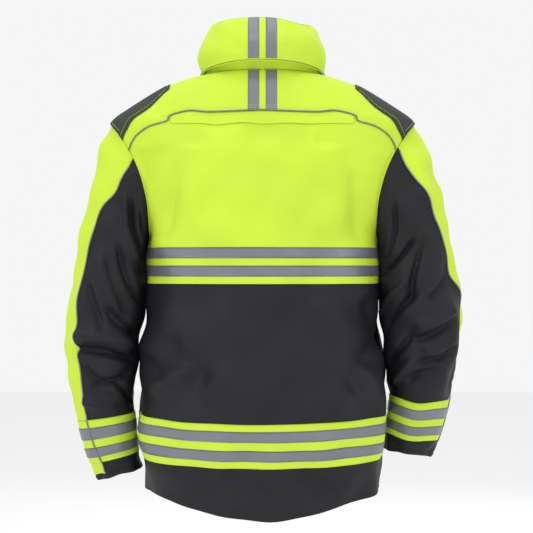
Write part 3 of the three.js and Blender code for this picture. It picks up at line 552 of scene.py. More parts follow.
def hang_cloth(points, cut, hold, faces):
    """Runs the cloth simulation and returns where the points come to rest."""
    mesh = bpy.data.meshes.new("drape")
    mesh.from_pydata(points.tolist(), [], faces.tolist())
    shell = bpy.data.objects.new("drape", mesh)
    bpy.context.scene.collection.objects.link(shell)
    shell.shape_key_add(name="worn")
    pattern = shell.shape_key_add(name="cut")
    pattern.data.foreach_set("co", cut.astype(np.float32).ravel())
    group = shell.vertex_groups.new(name="hold")
    firmness = np.round(hold * 20) / 20
    for value in np.unique(firmness):
        group.add(np.flatnonzero(firmness == value).tolist(), float(value), "REPLACE")
    cloth = shell.modifiers.new("drape", "CLOTH")
    made = cloth.settings
    made.quality = 5
    made.mass = 0.25
    made.tension_stiffness = made.compression_stiffness = 18
    made.shear_stiffness = 9
    made.bending_stiffness = 2.2
    made.air_damping = 3
    made.vertex_group_mass = "hold"
    made.pin_stiffness = 0.9
    made.rest_shape_key = pattern
    cloth.collision_settings.use_collision = False
    cloth.collision_settings.use_self_collision = False
    cloth.point_cache.frame_end = DRAPE_FRAMES
    scene = bpy.context.scene
    for number in range(1, DRAPE_FRAMES + 1):
        scene.frame_set(number)
    hung = shell.evaluated_get(bpy.context.evaluated_depsgraph_get())
    moved = np.empty(len(points) * 3, np.float32)
    hung.data.vertices.foreach_get("co", moved)
    bpy.data.objects.remove(shell)
    bpy.data.meshes.remove(mesh)
    scene.frame_set(1)
    return moved.reshape(-1, 3).astype(float)


# ---- Finishes ------------------------------------------------------------------------------------------


class Finish:
    """A node material begun with a Principled shader, with short ways to add what its cloth needs."""

    def __init__(self, name, color, roughness, metallic=0.0, **sockets):
        self.material = bpy.data.materials.new(name)
        self.material.use_nodes = True
        self.tree = self.material.node_tree
        self.shader = self.tree.nodes["Principled BSDF"]
        self.color = (*color, 1)
        self.set("Base Color", self.color)
        self.set("Roughness", roughness)
        self.set("Metallic", metallic)
        for key, value in sockets.items():
            self.set(key.replace("_", " "), value)
        self.material.diffuse_color = self.color

    def set(self, socket, value):
        self.shader.inputs[socket].default_value = value

    def node(self, kind, **inputs):
        made = self.tree.nodes.new(kind)
        for key, value in inputs.items():
            made.inputs[key.replace("_", " ")].default_value = value
        return made

    def link(self, start, end):
        self.tree.links.new(start, end)

    def place(self, surface):
        """The cloth's own UV map, in metres, or the object's coordinates."""
        return self.node("ShaderNodeTexCoord").outputs["UV" if surface == "cloth" else "Object"]

    def noise(self, surface, scale, detail=2.0):
        made = self.node("ShaderNodeTexNoise", Scale=scale, Detail=detail)
        self.link(self.place(surface), made.inputs["Vector"])
        return made.outputs["Fac"]

    def bands(self, period, direction, surface="cloth"):
        """Even ribs of that period: a sine wave across the cloth."""
        made = self.node("ShaderNodeTexWave", Scale=math.pi / 10 / period)
        made.bands_direction = direction
        self.link(self.place(surface), made.inputs["Vector"])
        return made.outputs["Fac"]

    def math(self, operation, a, b):
        made = self.tree.nodes.new("ShaderNodeMath")
        made.operation = operation
        for socket, value in zip(made.inputs, (a, b)):
            if isinstance(value, (int, float)):
                socket.default_value = value
            else:
                self.link(value, socket)
        return made.outputs[0]

    def vary(self, scale, low, high):
        """The base colour drifts between low and high times itself, in soft clouds."""
        ramp = self.node("ShaderNodeMapRange")
        self.link(self.noise("object", scale, 3), ramp.inputs["Value"])
        for key, value in (("From Min", 0.3), ("From Max", 0.7), ("To Min", low), ("To Max", high)):
            ramp.inputs[key].default_value = value
        tint = self.tree.nodes.new("ShaderNodeVectorMath")
        tint.operation = "SCALE"
        tint.inputs[0].default_value = self.color[:3]
        self.link(ramp.outputs[0], tint.inputs["Scale"])
        self.link(tint.outputs[0], self.shader.inputs["Base Color"])
        return self

    def bump(self, height, depth, strength=1.0):
        made = self.node("ShaderNodeBump", Strength=strength, Distance=depth)
        self.link(height, made.inputs["Height"])
        self.link(made.outputs[0], self.shader.inputs["Normal"])
        return self

    def weave(self, period, depth):
        """A plain weave: threads both ways, over a faint unevenness of the yarn."""
        threads = self.math("MULTIPLY", self.bands(period, "X"), self.bands(period, "Y"))
        uneven = self.math("MULTIPLY", self.noise("object", 420, 2), 0.8)
        return self.bump(self.math("ADD", threads, uneven), depth)


finishes = {}


def make_finishes(look):
    def cloth(name, color, roughness, period, depth, drift, **sockets):
        finishes[name] = Finish(name, color, roughness, **sockets).vary(9, 1 - drift, 1 + drift).weave(period, depth)

    cloth("bright_shell", look.bright, 0.62, 0.9 * MM, 0.05 * MM, 0.035, Specular_IOR_Level=0.3)
    cloth("dark_shell", look.dark, 0.6, 0.9 * MM, 0.05 * MM, 0.12, Specular_IOR_Level=0.3)
    cloth("shoulder_cloth", look.patch, 0.8, 2.2 * MM, 0.3 * MM, 0.1, Specular_IOR_Level=0.25)
    cloth("quilted_lining", (0.014, 0.014, 0.018), 0.7, 0.8 * MM, 0.04 * MM, 0.1)
    cloth("zip_tape", (0.012, 0.012, 0.014), 0.85, 0.8 * MM, 0.08 * MM, 0.1)
    cloth("hook_and_loop", (0.012, 0.012, 0.014), 0.95, 1.2 * MM, 0.5 * MM, 0.2, Sheen_Weight=0.3)
    tape = Finish("reflective_tape", look.silver, 0.42, 0.35).vary(14, 0.93, 1.07)
    beads = tape.math("ADD", tape.noise("object", 2600, 1), tape.bands(1.3 * MM, "X"))
    finishes["reflective_tape"] = tape.bump(beads, 0.02 * MM)
    piping = Finish("piping", look.piping, 0.45, 0.3).vary(20, 0.9, 1.1)
    finishes["piping"] = piping.bump(piping.noise("object", 1800, 1), 0.03 * MM)
    threads = (("bright_thread", look.bright_thread), ("dark_thread", look.dark_thread), ("tape_thread", look.silver))
    for name, color in threads:
        thread = Finish(name, color, 0.6).vary(60, 0.85, 1.15)
        finishes[name] = thread.bump(thread.noise("object", 1500, 1), 0.05 * MM)
    coil = Finish("zip_coil", (0.016, 0.016, 0.018), 0.38, Coat_Weight=0.2).vary(50, 0.8, 1.2)
    finishes["zip_coil"] = coil.bump(coil.noise("object", 900, 2), 0.02 * MM)
    metal = Finish("zip_metal", (0.42, 0.42, 0.41), 0.32, 1.0).vary(80, 0.85, 1.1)
    finishes["zip_metal"] = metal.bump(metal.noise("object", 700, 3), 0.01 * MM)


def finish_of(name):
    return finishes[name].material


# ---- Laying cloth on the draped shape ----------------------------------------------------------------

PITCH = 4.5 * MM  # spacing of the finished cloth's points
SHELL, LINING, TRIM = 1.4 * MM, 1.2 * MM, 0.9 * MM
SEAM = 0.35 * MM
ARC = {"back": 600 * MM, "left": 320 * MM, "right": 320 * MM}


def steps(length, pitch=PITCH):
    return max(3, int(round(length / pitch)) + 1)


def on_body(gore, s, height):
    """Points of the draped torso at shares s across a gore and at heights."""
    q = share_of(gore, s, height)
    return read_grid(draped[gore], q * (ROWS - 1), s * (COLUMNS[gore] - 1))


def on_sleeve(side, angle, v):
    column = np.mod(angle, TAU) / TAU * RING_STEPS
    return read_grid(draped[side + "_sleeve"], v / 11 * (RING_ROWS - 1), column, ring=True)


def patch_of(gore, foot, head, low=0.0, high=1.0, pitch=PITCH):
    """A grid of draped points on a gore, from s = low to high and between two heights, which may follow s."""
    s = np.linspace(low, high, steps(ARC[gore] * (high - low), pitch))
    foot, head = (edge(s) if callable(edge) else edge + 0 * s for edge in (foot, head))
    t = np.linspace(0, 1, steps(np.max(head - foot), pitch))[:, None]
    height = foot + (head - foot) * t
    return on_body(gore, np.broadcast_to(s, height.shape), height)


def belt(foot, head, end=1.0, pitch=PITCH):
    """A grid of draped points right round the body, from the left closure to the right one, or to a share end of
    the way to it on both fronts."""
    left = patch_of("left", foot, head, 0, end, pitch)[:, ::-1]
    back = patch_of("back", foot, head, pitch=pitch)
    right = patch_of("right", foot, head, 0, end, pitch)
    return np.concatenate([left[:, :-1], back, right[:, 1:]], axis=1)


def crown(grid, lift, thick, power=6):
    """The outer offset of a tape: its full thickness, rounded off towards both long edges."""
    t = np.linspace(-1, 1, grid.shape[0])[:, None]
    return lift + thick * (1 - 0.75 * np.abs(t) ** power) + 0 * grid[..., 0]


def lay_tape(name, grid, lift, material, thick=TRIM, ring=False, body="coat", outward=None):
    return make_sheet(name, grid, crown(grid, lift, thick), lift, material, ring, body, outward)


def stitch_rows(name, paths, material, pitch=4.2 * MM, length=2.9 * MM, radius=0.42 * MM, body="coat"):
    """Stitches along paths given as (points, normals): each stitch is a six-sided bead, three rings and two tips
    long, laid along the path at even pitch and half sunk in the cloth."""
    around = np.arange(6) * TAU / 6
    rings = [(-0.36, 0.8), (0.0, 1.0), (0.36, 0.8)]
    bead = [(-0.5, 0, 0)] + [(x, r * math.cos(a), r * math.sin(a)) for x, r in rings for a in around] + [(0.5, 0, 0)]
    bead = np.array(bead)
    faces = [(0, 1 + (i + 1) % 6, 1 + i, 1 + i) for i in range(6)]
    faces += [(1 + 6 * k + i, 1 + 6 * k + (i + 1) % 6, 7 + 6 * k + (i + 1) % 6, 7 + 6 * k + i) for k in (0, 1) for i in range(6)]
    faces += [(19, 13 + i, 13 + (i + 1) % 6, 13 + (i + 1) % 6) for i in range(6)]
    made = []
    for points, up in paths:
        run = np.concatenate([[0], np.cumsum(np.linalg.norm(np.diff(points, axis=0), axis=1))])
        at = np.arange(pitch / 2, run[-1], pitch)
        if not len(at):
            continue
        spot = np.stack([np.interp(at, run, points[:, k]) for k in range(3)], -1)
        ahead = np.stack([np.interp(at + pitch / 4, run, points[:, k]) for k in range(3)], -1)
        behind = np.stack([np.interp(at - pitch / 4, run, points[:, k]) for k in range(3)], -1)
        n = unit(np.stack([np.interp(at, run, up[:, k]) for k in range(3)], -1))
        x = unit(ahead - behind)
        y = unit(np.cross(n, x))
        made.append(
            spot[:, None]
            + bead[None, :, :1] * length * x[:, None]
            + bead[None, :, 1:2] * radius * y[:, None]
            + bead[None, :, 2:] * radius * n[:, None]
        )
    vertices = np.concatenate(made)
    count = len(vertices)
    index = np.array(faces)[None] + (np.arange(count) * len(bead))[:, None, None]
    return make_loose(name, vertices.reshape(-1, 3), index.reshape(-1, 4), material, body)


def make_loose(name, vertices, faces, material, body="coat"):
    """A mesh object whose faces may be triangles written as quads that name their last corner twice."""
    lists = [f[:3] if f[2] == f[3] else f for f in faces.tolist()]
    mesh = bpy.data.meshes.new(name)
    mesh.from_pydata(vertices.tolist(), [], lists)
    mesh.polygons.foreach_set("use_smooth", np.full(len(lists), True))
    mesh.materials.append(material)
    piece = bpy.data.objects.new(cloth_name(name), mesh)
    bpy.context.scene.collection.objects.link(piece)
    if body:
        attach(piece, body)
    return piece


def edge_path(grid, row=None, column=None, lift=0.0, ring=False, outward=None):
    """A line of a grid and its normals, lifted off the cloth."""
    n = normals(grid, ring)
    centre = grid.mean(axis=(0, 1)) if outward is None else np.asarray(outward)
    if np.sum(n * (grid - centre)) < 0:
        n = -n
    pick = (row, slice(None)) if row is not None else (slice(None), column)
    return grid[pick] + n[pick] * lift, n[pick]


def seam_lip(grid, depth=0.8 * MM, reach=3.0 * MM, sides=True):
    """Minus a bell curve of the distance from a panel's edges: the cloth turns in where it is sewn."""
    lengths = [np.linalg.norm(np.diff(grid, axis=a), axis=-1).mean() for a in (0, 1)]
    rows, columns = grid.shape[:2]
    i, j = np.arange(rows)[:, None] + 0 * np.arange(columns), np.arange(columns)[None] + 0 * np.arange(rows)[:, None]
    away = np.minimum(i, rows - 1 - i) * lengths[0]
    if sides:
        away = np.minimum(away, np.minimum(j, columns - 1 - j) * lengths[1])
    return -depth * np.exp(-((away / reach) ** 2))


def tube(name, points, radius, material, body="coat", sides=10, closed=False):
    """A round cord along points, its rings square to the path, with its ends rounded off."""
    ahead = np.gradient(points, axis=0)
    ahead = unit(ahead)
    helper = np.where(np.abs(ahead[:, 2:]) > 0.9, [[1.0, 0, 0]], [[0, 0, 1.0]])
    x = unit(np.cross(ahead, helper))
    y = np.cross(ahead, x)
    turn = np.arange(sides) * TAU / sides
    ring = np.cos(turn)[None, :, None] * x[:, None] + np.sin(turn)[None, :, None] * y[:, None]
    shrink = np.ones(len(points))
    shrink[[0, -1]] = 0.5
    grid = points[:, None] + ring * (radius * shrink)[:, None, None]
    rows = len(points)
    faces = grid_faces(rows, sides, True)
    caps = [(0, i, i + 1, i + 1) for i in range(1, sides - 1)]
    last = (rows - 1) * sides
    caps += [(last, last + i + 1, last + i, last + i) for i in range(1, sides - 1)]
    quads = np.concatenate([faces, np.array(caps)])
    wound = np.cross(grid[0, 1] - grid[0, 0], grid[1, 0] - grid[0, 0]) @ ring[0, 0]
    if wound < 0:
        quads = quads[:, [0, 3, 2, 1]]
        quads = np.where((quads[:, 1:2] == quads[:, 2:3]), quads[:, [0, 2, 3, 3]], quads)
    return make_loose(name, grid.reshape(-1, 3), quads, material, body)


# ---- The body ----------------------------------------------------------------------------------------

YOKE = curve([(0, -76), (430, -79), (540, -76), (600, -80), (680, -94), (760, -100), (870, -115), (1000, -141)])


def yoke_level(s):
    """Height of the yoke seam across the back: the curve of how far s is from the middle."""
    return YOKE(np.abs(2 * s - 1))


def band_rise(gore, s):
    """How much higher the hem band runs at the sides than at the middle of the back and the closure."""
    return 11 * MM * (np.abs(2 * s - 1) ** 1.5 if gore == "back" else 1 - smooth(s / 0.7))


def make_body_panels():
    panels = [
        ("upper_back_panel", "back", CHEST_LINE, lambda s: yoke_level(s), "bright_shell", 0, 1),
        ("lower_back_panel", "back", lambda s: hem_level("back", s), CHEST_LINE, "dark_shell", 0, 1),
        ("back_yoke", "back", lambda s: yoke_level(s), -0.5 * MM, "bright_shell", 0, 1),
    ]
    for side in SIGN:
        panels.append((f"upper_front_{side}", side, CHEST_LINE, -0.5 * MM, "bright_shell", 0, 1))
        panels.append((f"lower_front_{side}", side, HEM_SIDE, CHEST_LINE, "dark_shell", 0, 1))
    for name, gore, foot, head, finish, low, high in panels:
        low, high = 0.0003, 0.9997
        foot_edge = (lambda s, edge=foot: (edge(s) if callable(edge) else edge + 0 * s) + 0.15 * MM)
        head_edge = (lambda s, edge=head: (edge(s) if callable(edge) else edge + 0 * s) - 0.15 * MM)
        grid = patch_of(gore, foot_edge, head_edge, low, high)
        lip = seam_lip(grid, 0.45 * MM, 2.5 * MM)
        piece = make_sheet(name, grid, lip, -SHELL, finish_of(finish), outward=(0, 0, grid[..., 2].mean()))
        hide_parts(name)


def make_hem_channel():
    """The turned hem's stitching line."""
    paths = []
    for gore, end in (("back", 1), ("left", 0.97), ("right", 0.97)):
        for up in (24, 3):
            s = np.linspace(0.004, end, 160)
            points = on_body(gore, s, hem_level(gore, s) + up * MM)
            n = unit(points * [1, 1, 0])
            paths.append((points + n * 0.1 * MM, n))
    piece = stitch_rows("hem_stitches", paths, finish_of("dark_thread"))


def lifted(grid, lift, outward=(0, 0, 0)):
    n = normals(grid)
    if np.sum(n * (grid - np.asarray(outward)) * [1, 1, 0]) < 0:
        n = -n
    return grid + n * lift, n


def make_belt_trims():
    def banded(foot, height, end):
        def edge(gore, up):
            return lambda s: foot + up + band_rise(gore, s) * (foot < BAND[1])

        def one(gore, low, high):
            return patch_of(gore, edge(gore, 0), edge(gore, height), low, high)

        left = one("left", 0, end)[:, ::-1]
        back = one("back", 0, 1)
        right = one("right", 0, end)
        return np.concatenate([left[:, :-1], back, right[:, 1:]], axis=1)

    end = 0.955
    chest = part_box("chest_tape_lower")[0].z
    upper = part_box("chest_tape_upper")[0].z
    band = banded(BAND[0], BAND[1] - BAND[0], end)
    piece = make_sheet("hem_band", band, 1.1 * MM + seam_lip(band, 0.5 * MM, 2 * MM), 0.25 * MM,
                       finish_of("bright_shell"), outward=(0, 0, band[..., 2].mean()))
    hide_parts("hem_band")
    paths = []
    tapes = [
        ("hem_tape_lower", BAND[0] + TAPE_EDGE, 1.35 * MM),
        ("hem_tape_upper", BAND[1] - TAPE_EDGE - TAPE, 1.35 * MM),
        ("chest_tape_lower", chest, 0.25 * MM),
        ("chest_tape_upper", upper, 0.25 * MM),
    ]
    for name, foot, lift in tapes:
        grid = banded(foot, TAPE, end) if foot < BAND[1] else banded(foot, TAPE, end)
        piece = lay_tape(name, grid, lift, finish_of("reflective_tape"), outward=(0, 0, grid[..., 2].mean()))
        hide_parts(name)
        for row in (0.12, 0.88):
            line = read_grid(grid, row * (grid.shape[0] - 1) + 0 * np.arange(grid.shape[1]), np.arange(grid.shape[1], dtype=float))
            n = unit(line * [1, 1, 0])
            paths.append((line + n * (lift + TRIM * 0.82), n))
    piece = stitch_rows("tape_stitches", paths, finish_of("tape_thread"))
    edges = []
    for row, up in ((0, 1.6 * MM), (-1, -1.6 * MM)):
        line = band[row] + [0, 0, up]
        n = unit(line * [1, 1, 0])
        edges.append((line + n * 1.0 * MM, n))
    piece = stitch_rows("band_stitches", edges, finish_of("bright_thread"))


def make_yoke_trims():
    s = np.linspace(0.001, 0.999, 150)
    line = on_body("back", s, yoke_level(s) + 1 * MM)
    n = unit(normals(patch_of("back", lambda t: yoke_level(t) - 3 * MM, lambda t: yoke_level(t) + 5 * MM, 0.001, 0.999, 4 * MM))[1])
    at = np.linspace(0, len(n) - 1, len(s))
    n = unit(np.stack([np.interp(at, np.arange(len(n)), n[:, k]) for k in range(3)], -1))
    n = n * np.sign(np.sum(n * line * [1, 1, 0], axis=-1, keepdims=True))
    piece = tube("yoke_piping", line + n * 1.45 * MM, 1.25 * MM, finish_of("piping"))
    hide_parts("yoke_piping")
    vent_foot = lambda t: (-98 - 3 * np.exp(-(((np.abs(2 * t - 1) - 0.35) / 0.15) ** 2))) * MM
    vent = patch_of("back", vent_foot, lambda t: yoke_level(t) - 2 * MM, 0.17, 0.83, 3.5 * MM)
    puff = 0.6 * np.linspace(1, 0, vent.shape[0])[:, None] * np.sin(np.pi * np.linspace(0, 1, vent.shape[1]))[None] ** 0.5
    piece = make_sheet("back_vent_flap", vent, 1.3 * MM + 1.6 * MM * puff, 0.25 * MM + 1.6 * MM * puff,
                       finish_of("bright_shell"), outward=(0, 0, vent[..., 2].mean()))
    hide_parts("back_vent_flap")
    paths = []
    for drop in (8 * MM, -6 * MM):
        line = on_body("back", s[8:-8], yoke_level(s[8:-8]) + drop)
        up = n[8:-8]
        inside = np.abs(s[8:-8] - 0.5) < 0.27
        if drop < 0:
            line = line[inside] + up[inside] * 2.0 * MM
            up = up[inside]
        else:
            line = line + up * 0.15 * MM
        paths.append((line, up))
    piece = stitch_rows("yoke_stitches", paths, finish_of("bright_thread"))
    for side, sign in SIGN.items():
        x = np.linspace(6, 25, 7) * MM * sign
        z = np.linspace(yoke_level(0.5) + 1.6 * MM, -1.2 * MM, 20)
        share = 0.5 - x / (2 * 135 * MM)
        for _ in range(6):
            got = gore_point("back", share, np.full_like(share, -35 * MM))[:, 0]
            share = share + (got - x) / (math.pi * 150 * MM)
        grid = on_body("back", np.broadcast_to(share, (20, 7)), np.broadcast_to(z[:, None], (20, 7)))
        fix = x[None] - grid[..., 0]
        grid[..., 0] += fix
        piece = make_sheet(f"yoke_tape_{side}", grid, 1.35 * MM, 0.35 * MM, finish_of("reflective_tape"),
                           outward=(0, 0, -60 * MM))
        rows = [grid[k] + [0, 1.4 * MM, 0] for k in (1, 2)]
        out = np.tile([[0.0, 1.0, 0.1]], (7, 1))
        thread = stitch_rows(f"yoke_tape_stitches_{side}", [(row, out) for row in rows], finish_of("bright_thread"), radius=0.3 * MM)
        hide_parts(f"yoke_tape_{side}")


PATCH_INNER = 164 * MM
PATCH_FRONT = curve([(0, 58), (500, 68.5), (1000, 55)])  # how far it reaches forward, by share of the way out
PATCH_REAR = curve([(0, 60), (500, 82), (750, 76), (1000, 57)])


def shoulder_height(x, y):
    """Height of the torso over a point of the plan: between two heights of the shape whose half width there is just
    more and just less than the distance out, halved thirty times."""
    low, high = np.full_like(x, -130 * MM), np.zeros_like(x)
    for _ in range(30):
        middle = (low + high) / 2
        wider = width_at(middle, y) > np.abs(x)
        low, high = np.where(wider, middle, low), np.where(wider, high, middle)
    return low


def make_shoulder_patches():
    """Each patch runs from a line across the shoulder to the armhole's edge. Each of its lines out along the
    shoulder goes evenly in height from the line's own level to the level of the armhole's edge where it ends."""
    for side, sign in SIGN.items():
        along, across = np.meshgrid(np.linspace(0, 1, 40), np.linspace(-1, 1, 33), indexing="ij")
        half = np.where(across > 0, PATCH_REAR(along), PATCH_FRONT(along))
        y = across * half
        reach = np.where(across > 0, ARM_BACK, ARM_FRONT)
        edge = ARM_MIDDLE + ARM_HALF * np.sqrt(1 - (y[-1] / reach[-1]) ** 2) + 1.5 * MM
        inner = shoulder_height(PATCH_INNER + 0 * y[0], y[0])
        height = inner + (edge - inner) * along
        angle = np.arctan2(y, width_at(height, y))
        grid = body_point(angle, height) * [sign, 1, 1]
        n = normals(grid)
        n = n * np.sign(np.sum(n * [sign, 0, 1], axis=-1, keepdims=True))
        grid = grid + n * 0.7 * MM
        quilt = np.abs(np.sin(np.pi * along * 7)) ** 0.35 * 0.25 * MM
        piece = make_sheet(f"shoulder_patch_{side}", grid, 1.7 * MM + quilt + seam_lip(grid, 0.9 * MM, 2.5 * MM), 0.3 * MM,
                           finish_of("shoulder_cloth"), outward=(0, 0, -0.6))
        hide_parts(f"shoulder_patch_{side}")
        paths = []
        for column in (1, -2):
            paths.append((grid[2:-2, column] + n[2:-2, column] * 1.75 * MM, n[2:-2, column]))
        for row in (1, -2, -5):
            paths.append((grid[row, 2:-2] + n[row, 2:-2] * 1.95 * MM, n[row, 2:-2]))
        thread = stitch_rows(f"patch_stitches_{side}", paths, finish_of("bright_thread"))


# ---- Sleeves -----------------------------------------------------------------------------------------


def bright_angles(side, v):
    """The angles at which the bright outer panel begins in front and ends behind."""
    back, front = BRIGHT_EDGE[side]
    return -np.radians(front(v)), np.radians(back(v))


def sleeve_patch(side, start, end, low, high, pitch=PITCH):
    """A grid of draped points between two angles, which may follow the row, and from row low to row high."""
    rows = steps((high - low) * 62 * MM, pitch)
    v = np.linspace(low, high, rows)[:, None]
    a, b = (edge(v) if callable(edge) else edge + 0 * v for edge in (start, end))
    span = float(np.max(b - a))
    u = np.linspace(0, 1, steps(span * 72 * MM, pitch))
    angle = a + (b - a) * u
    return on_sleeve(side, angle, np.broadcast_to(v, angle.shape))


def sleeve_ring(side, low, high, pitch=PITCH):
    angle = np.arange(steps(TAU * 68 * MM, pitch) - 1) * TAU / (steps(TAU * 68 * MM, pitch) - 1)
    v = np.linspace(low, high, steps((high - low) * 62 * MM, pitch))[:, None]
    angle, v = np.broadcast_arrays(angle[None], v)
    sag = 0.15 * np.exp(-(((angle - math.radians(98)) / 0.6) ** 2)) * (side == "right")
    return on_sleeve(side, angle, v + sag * smooth((v - 7.6) / 0.4) * smooth((10 - v) / 0.4))


def swing(piece):
    """Bakes the piece's placement into its mesh and leaves it at the identity transform."""
    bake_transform(piece)


def make_sleeves():
    for side in SIGN:
        back, front = BRIGHT_EDGE[side]
        start, end = (lambda v: -np.radians(front(v))), (lambda v: np.radians(back(v)))
        axis = draped[side + "_sleeve"].mean(axis=1)

        def out_of(grid, low, high):
            """Which way is out of the sleeve, as a point inside it for each row."""
            at = np.linspace(low, high, grid.shape[0]) / 11 * (RING_ROWS - 1)
            return np.stack([np.interp(at, np.arange(RING_ROWS), axis[:, k]) for k in range(3)], -1)[:, None]

        under_end = lambda v: TAU - np.radians(front(v)) - 0.004
        under_start = lambda v: np.radians(back(v)) + 0.004
        outer = sleeve_patch(side, start, end, 0.004, CUFF_ROW - 0.01)
        under = sleeve_patch(side, under_start, under_end, 0.004, CUFF_ROW - 0.01)
        for name, grid, finish, nodes in (
            ("sleeve_outer", outer, "bright_shell", [f"sleeve_outer_{side}"]),
            ("sleeve_under", under, "dark_shell", [f"sleeve_under_{side}", f"sleeve_head_{side}"]),
        ):
            piece = make_sheet(f"{name}_{side}", grid, seam_lip(grid, 0.45 * MM, 2.5 * MM), -SHELL, finish_of(finish), body=None,
                               outward=out_of(grid, 0.004, CUFF_ROW - 0.01))
            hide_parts(*nodes)
            swing(piece)
        low, high = CUFF_ROW + 0.01, 10.97
        cuff = sleeve_ring(side, low, high)
        piece = make_sheet(f"cuff_{side}", cuff, seam_lip(cuff, 1.0 * MM, 3.5 * MM, False), -3.0 * MM,
                           finish_of("dark_shell"), True, f"sleeve_{side}", out_of(cuff, low, high))
        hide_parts(f"cuff_{side}")
        low, high = SLEEVE_BAND
        span = high - low
        band = sleeve_ring(side, low, high, 3.5 * MM)
        band_out = out_of(band, low, high)
        piece = make_sheet(f"sleeve_band_{side}", band, 1.15 * MM + seam_lip(band, 0.5 * MM, 2 * MM, False), 0.25 * MM,
                           finish_of("bright_shell"), True, f"sleeve_{side}", band_out)
        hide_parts(f"sleeve_band_{side}")
        paths, edges = [], []
        for key, (a, b) in (("upper", (12 / 76, 31 / 76)), ("lower", (45 / 76, 64 / 76))):
            first, last = low + span * a, low + span * b
            tape = sleeve_ring(side, first, last, 3.5 * MM)
            tape_out = out_of(tape, first, last)
            piece = make_sheet(f"sleeve_tape_{key}_{side}", tape, crown(tape, 1.4 * MM, TRIM), 1.4 * MM,
                               finish_of("reflective_tape"), True, f"sleeve_{side}", tape_out)
            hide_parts(f"sleeve_tape_{key}_{side}")
            for row in (0.12, 0.88):
                columns = np.arange(tape.shape[1] + 1, dtype=float)
                line = read_grid(tape, row * (tape.shape[0] - 1) + 0 * columns, np.mod(columns, tape.shape[1]), ring=True)
                n = unit(line - tape_out[len(tape_out) // 2])
                paths.append((line + n * (1.4 * MM + TRIM * 0.85), n))
        for row in (0, -1):
            line = band[row]
            n = unit(line - band_out[row])
            shift = (axis[60] - axis[70]) / np.linalg.norm(axis[60] - axis[70]) * (-1.6 * MM if row == 0 else 1.6 * MM)
            edges.append((line + shift + n * 1.1 * MM, n))
        thread = stitch_rows(f"sleeve_tape_stitches_{side}", paths, finish_of("tape_thread"), body=f"sleeve_{side}")
        thread = stitch_rows(f"sleeve_band_stitches_{side}", edges, finish_of("bright_thread"), body=f"sleeve_{side}")
        v = np.linspace(0.15, CUFF_ROW - 0.15, 190)
        seam = on_sleeve(side, np.radians(back(v)), v)
        middle = np.stack([np.interp(v / 11 * (RING_ROWS - 1), np.arange(RING_ROWS), axis[:, k]) for k in range(3)], -1)
        n = unit(seam - middle)
        over = 1.6 * MM * smooth((v - low + 0.12) / 0.1) * smooth((high + 0.12 - v) / 0.1)
        piece = tube(f"sleeve_piping_{side}", seam + n * (1.0 * MM + over)[:, None], 1.3 * MM, finish_of("piping"), None)
        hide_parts(f"sleeve_piping_{side}")
        swing(piece)
        rows = []
        for offset, thread_finish in ((4.5 * MM, "dark_thread"),):
            angle = np.radians(back(v)) + offset / (70 * MM)
            line = on_sleeve(side, angle, v)
            keep = (v < low - 0.05)
            n = unit(line - middle)
            rows.append((line[keep] + n[keep] * 0.1 * MM, n[keep]))
        thread = stitch_rows(f"sleeve_stitches_{side}", rows, finish_of("dark_thread"), body=None)
        swing(thread)
        lining = sleeve_ring(side, 0.0, 10.6, 6 * MM)
        piece = make_sheet(f"sleeve_lining_{side}", lining, -2.2 * MM, -3.2 * MM, finish_of("quilted_lining"), True, None,
                           out_of(lining, 0.0, 10.6))
        swing(piece)


# ---- Collar ------------------------------------------------------------------------------------------

COLLAR_RADIUS = 109.5 * MM
COLLAR_LEAN = 0.19
COLLAR_TOP = 94 * MM
ROLL_SWELL = curve([(0, 0), (140, 3.5), (320, 5.5), (500, 3), (660, -2.5), (850, -11.5), (1000, -18.5)])


def ring_point(angle, wide, back, middle, lean):
    """A leaning ring that touches the straight closure line in front."""
    front = -(NECK_FRONT - FRONT_LEAN * (middle - lean * NECK_FRONT))
    y = (back + front) / 2 + (back - front) / 2 * np.sin(angle)
    return np.stack([wide * np.cos(angle), y + 0 * wide, middle + lean * y], -1)


def roll_point(angle, v):
    """The hood roll: a ring that swells and leans less as it rises, with the soft unevenness of the rolled hood."""
    wide = COLLAR_RADIUS + ROLL_SWELL(v)
    lean = COLLAR_LEAN + (0.03 - COLLAR_LEAN) * v
    point = ring_point(angle, wide, wide - 4 * MM, COLLAR_TOP * v * 0.97, lean)
    away = np.abs(np.mod(angle - math.pi / 2 + math.pi, TAU) - math.pi)
    calm = smooth(v / 0.2) * smooth((1 - v) / 0.12) * smooth((math.pi - away - 0.16) / 0.3)
    ripple = soft_noise(point, 60 * MM, 3) * 1.5 * MM + 1.2 * MM * np.sin(9 * angle + 5 * v + 2 * np.sin(3 * angle))
    droop = 2.2 * MM * np.sin(2.4 * angle + 6 * v) * smooth(v / 0.3)
    point[..., 2] -= 7 * MM * np.exp(-(((angle - 2.45) / 0.45) ** 2)) * smooth((v - 0.25) / 0.75)
    return point + unit(point * [1, 1, 0]) * ((ripple + 0.4 * droop) * calm * smooth((away - 0.2) / 0.25))[..., None]


def stand_point(angle, v):
    top = ring_point(angle, COLLAR_RADIUS - 5 * MM, COLLAR_RADIUS - 9 * MM, -2 * MM, COLLAR_LEAN)
    foot = body_point(angle, 0 * angle) + [0, 0, -0.35 * MM]
    return foot + (top - foot) * np.asarray(v)[..., None]


def collar_grid(surface, low, high, rows, columns=190, turn=0.131):
    angle = np.linspace(-math.pi / 2 + turn, 1.5 * math.pi - turn, columns)
    v, angle = np.meshgrid(np.linspace(low, high, rows), angle, indexing="ij")
    return surface(angle, v)


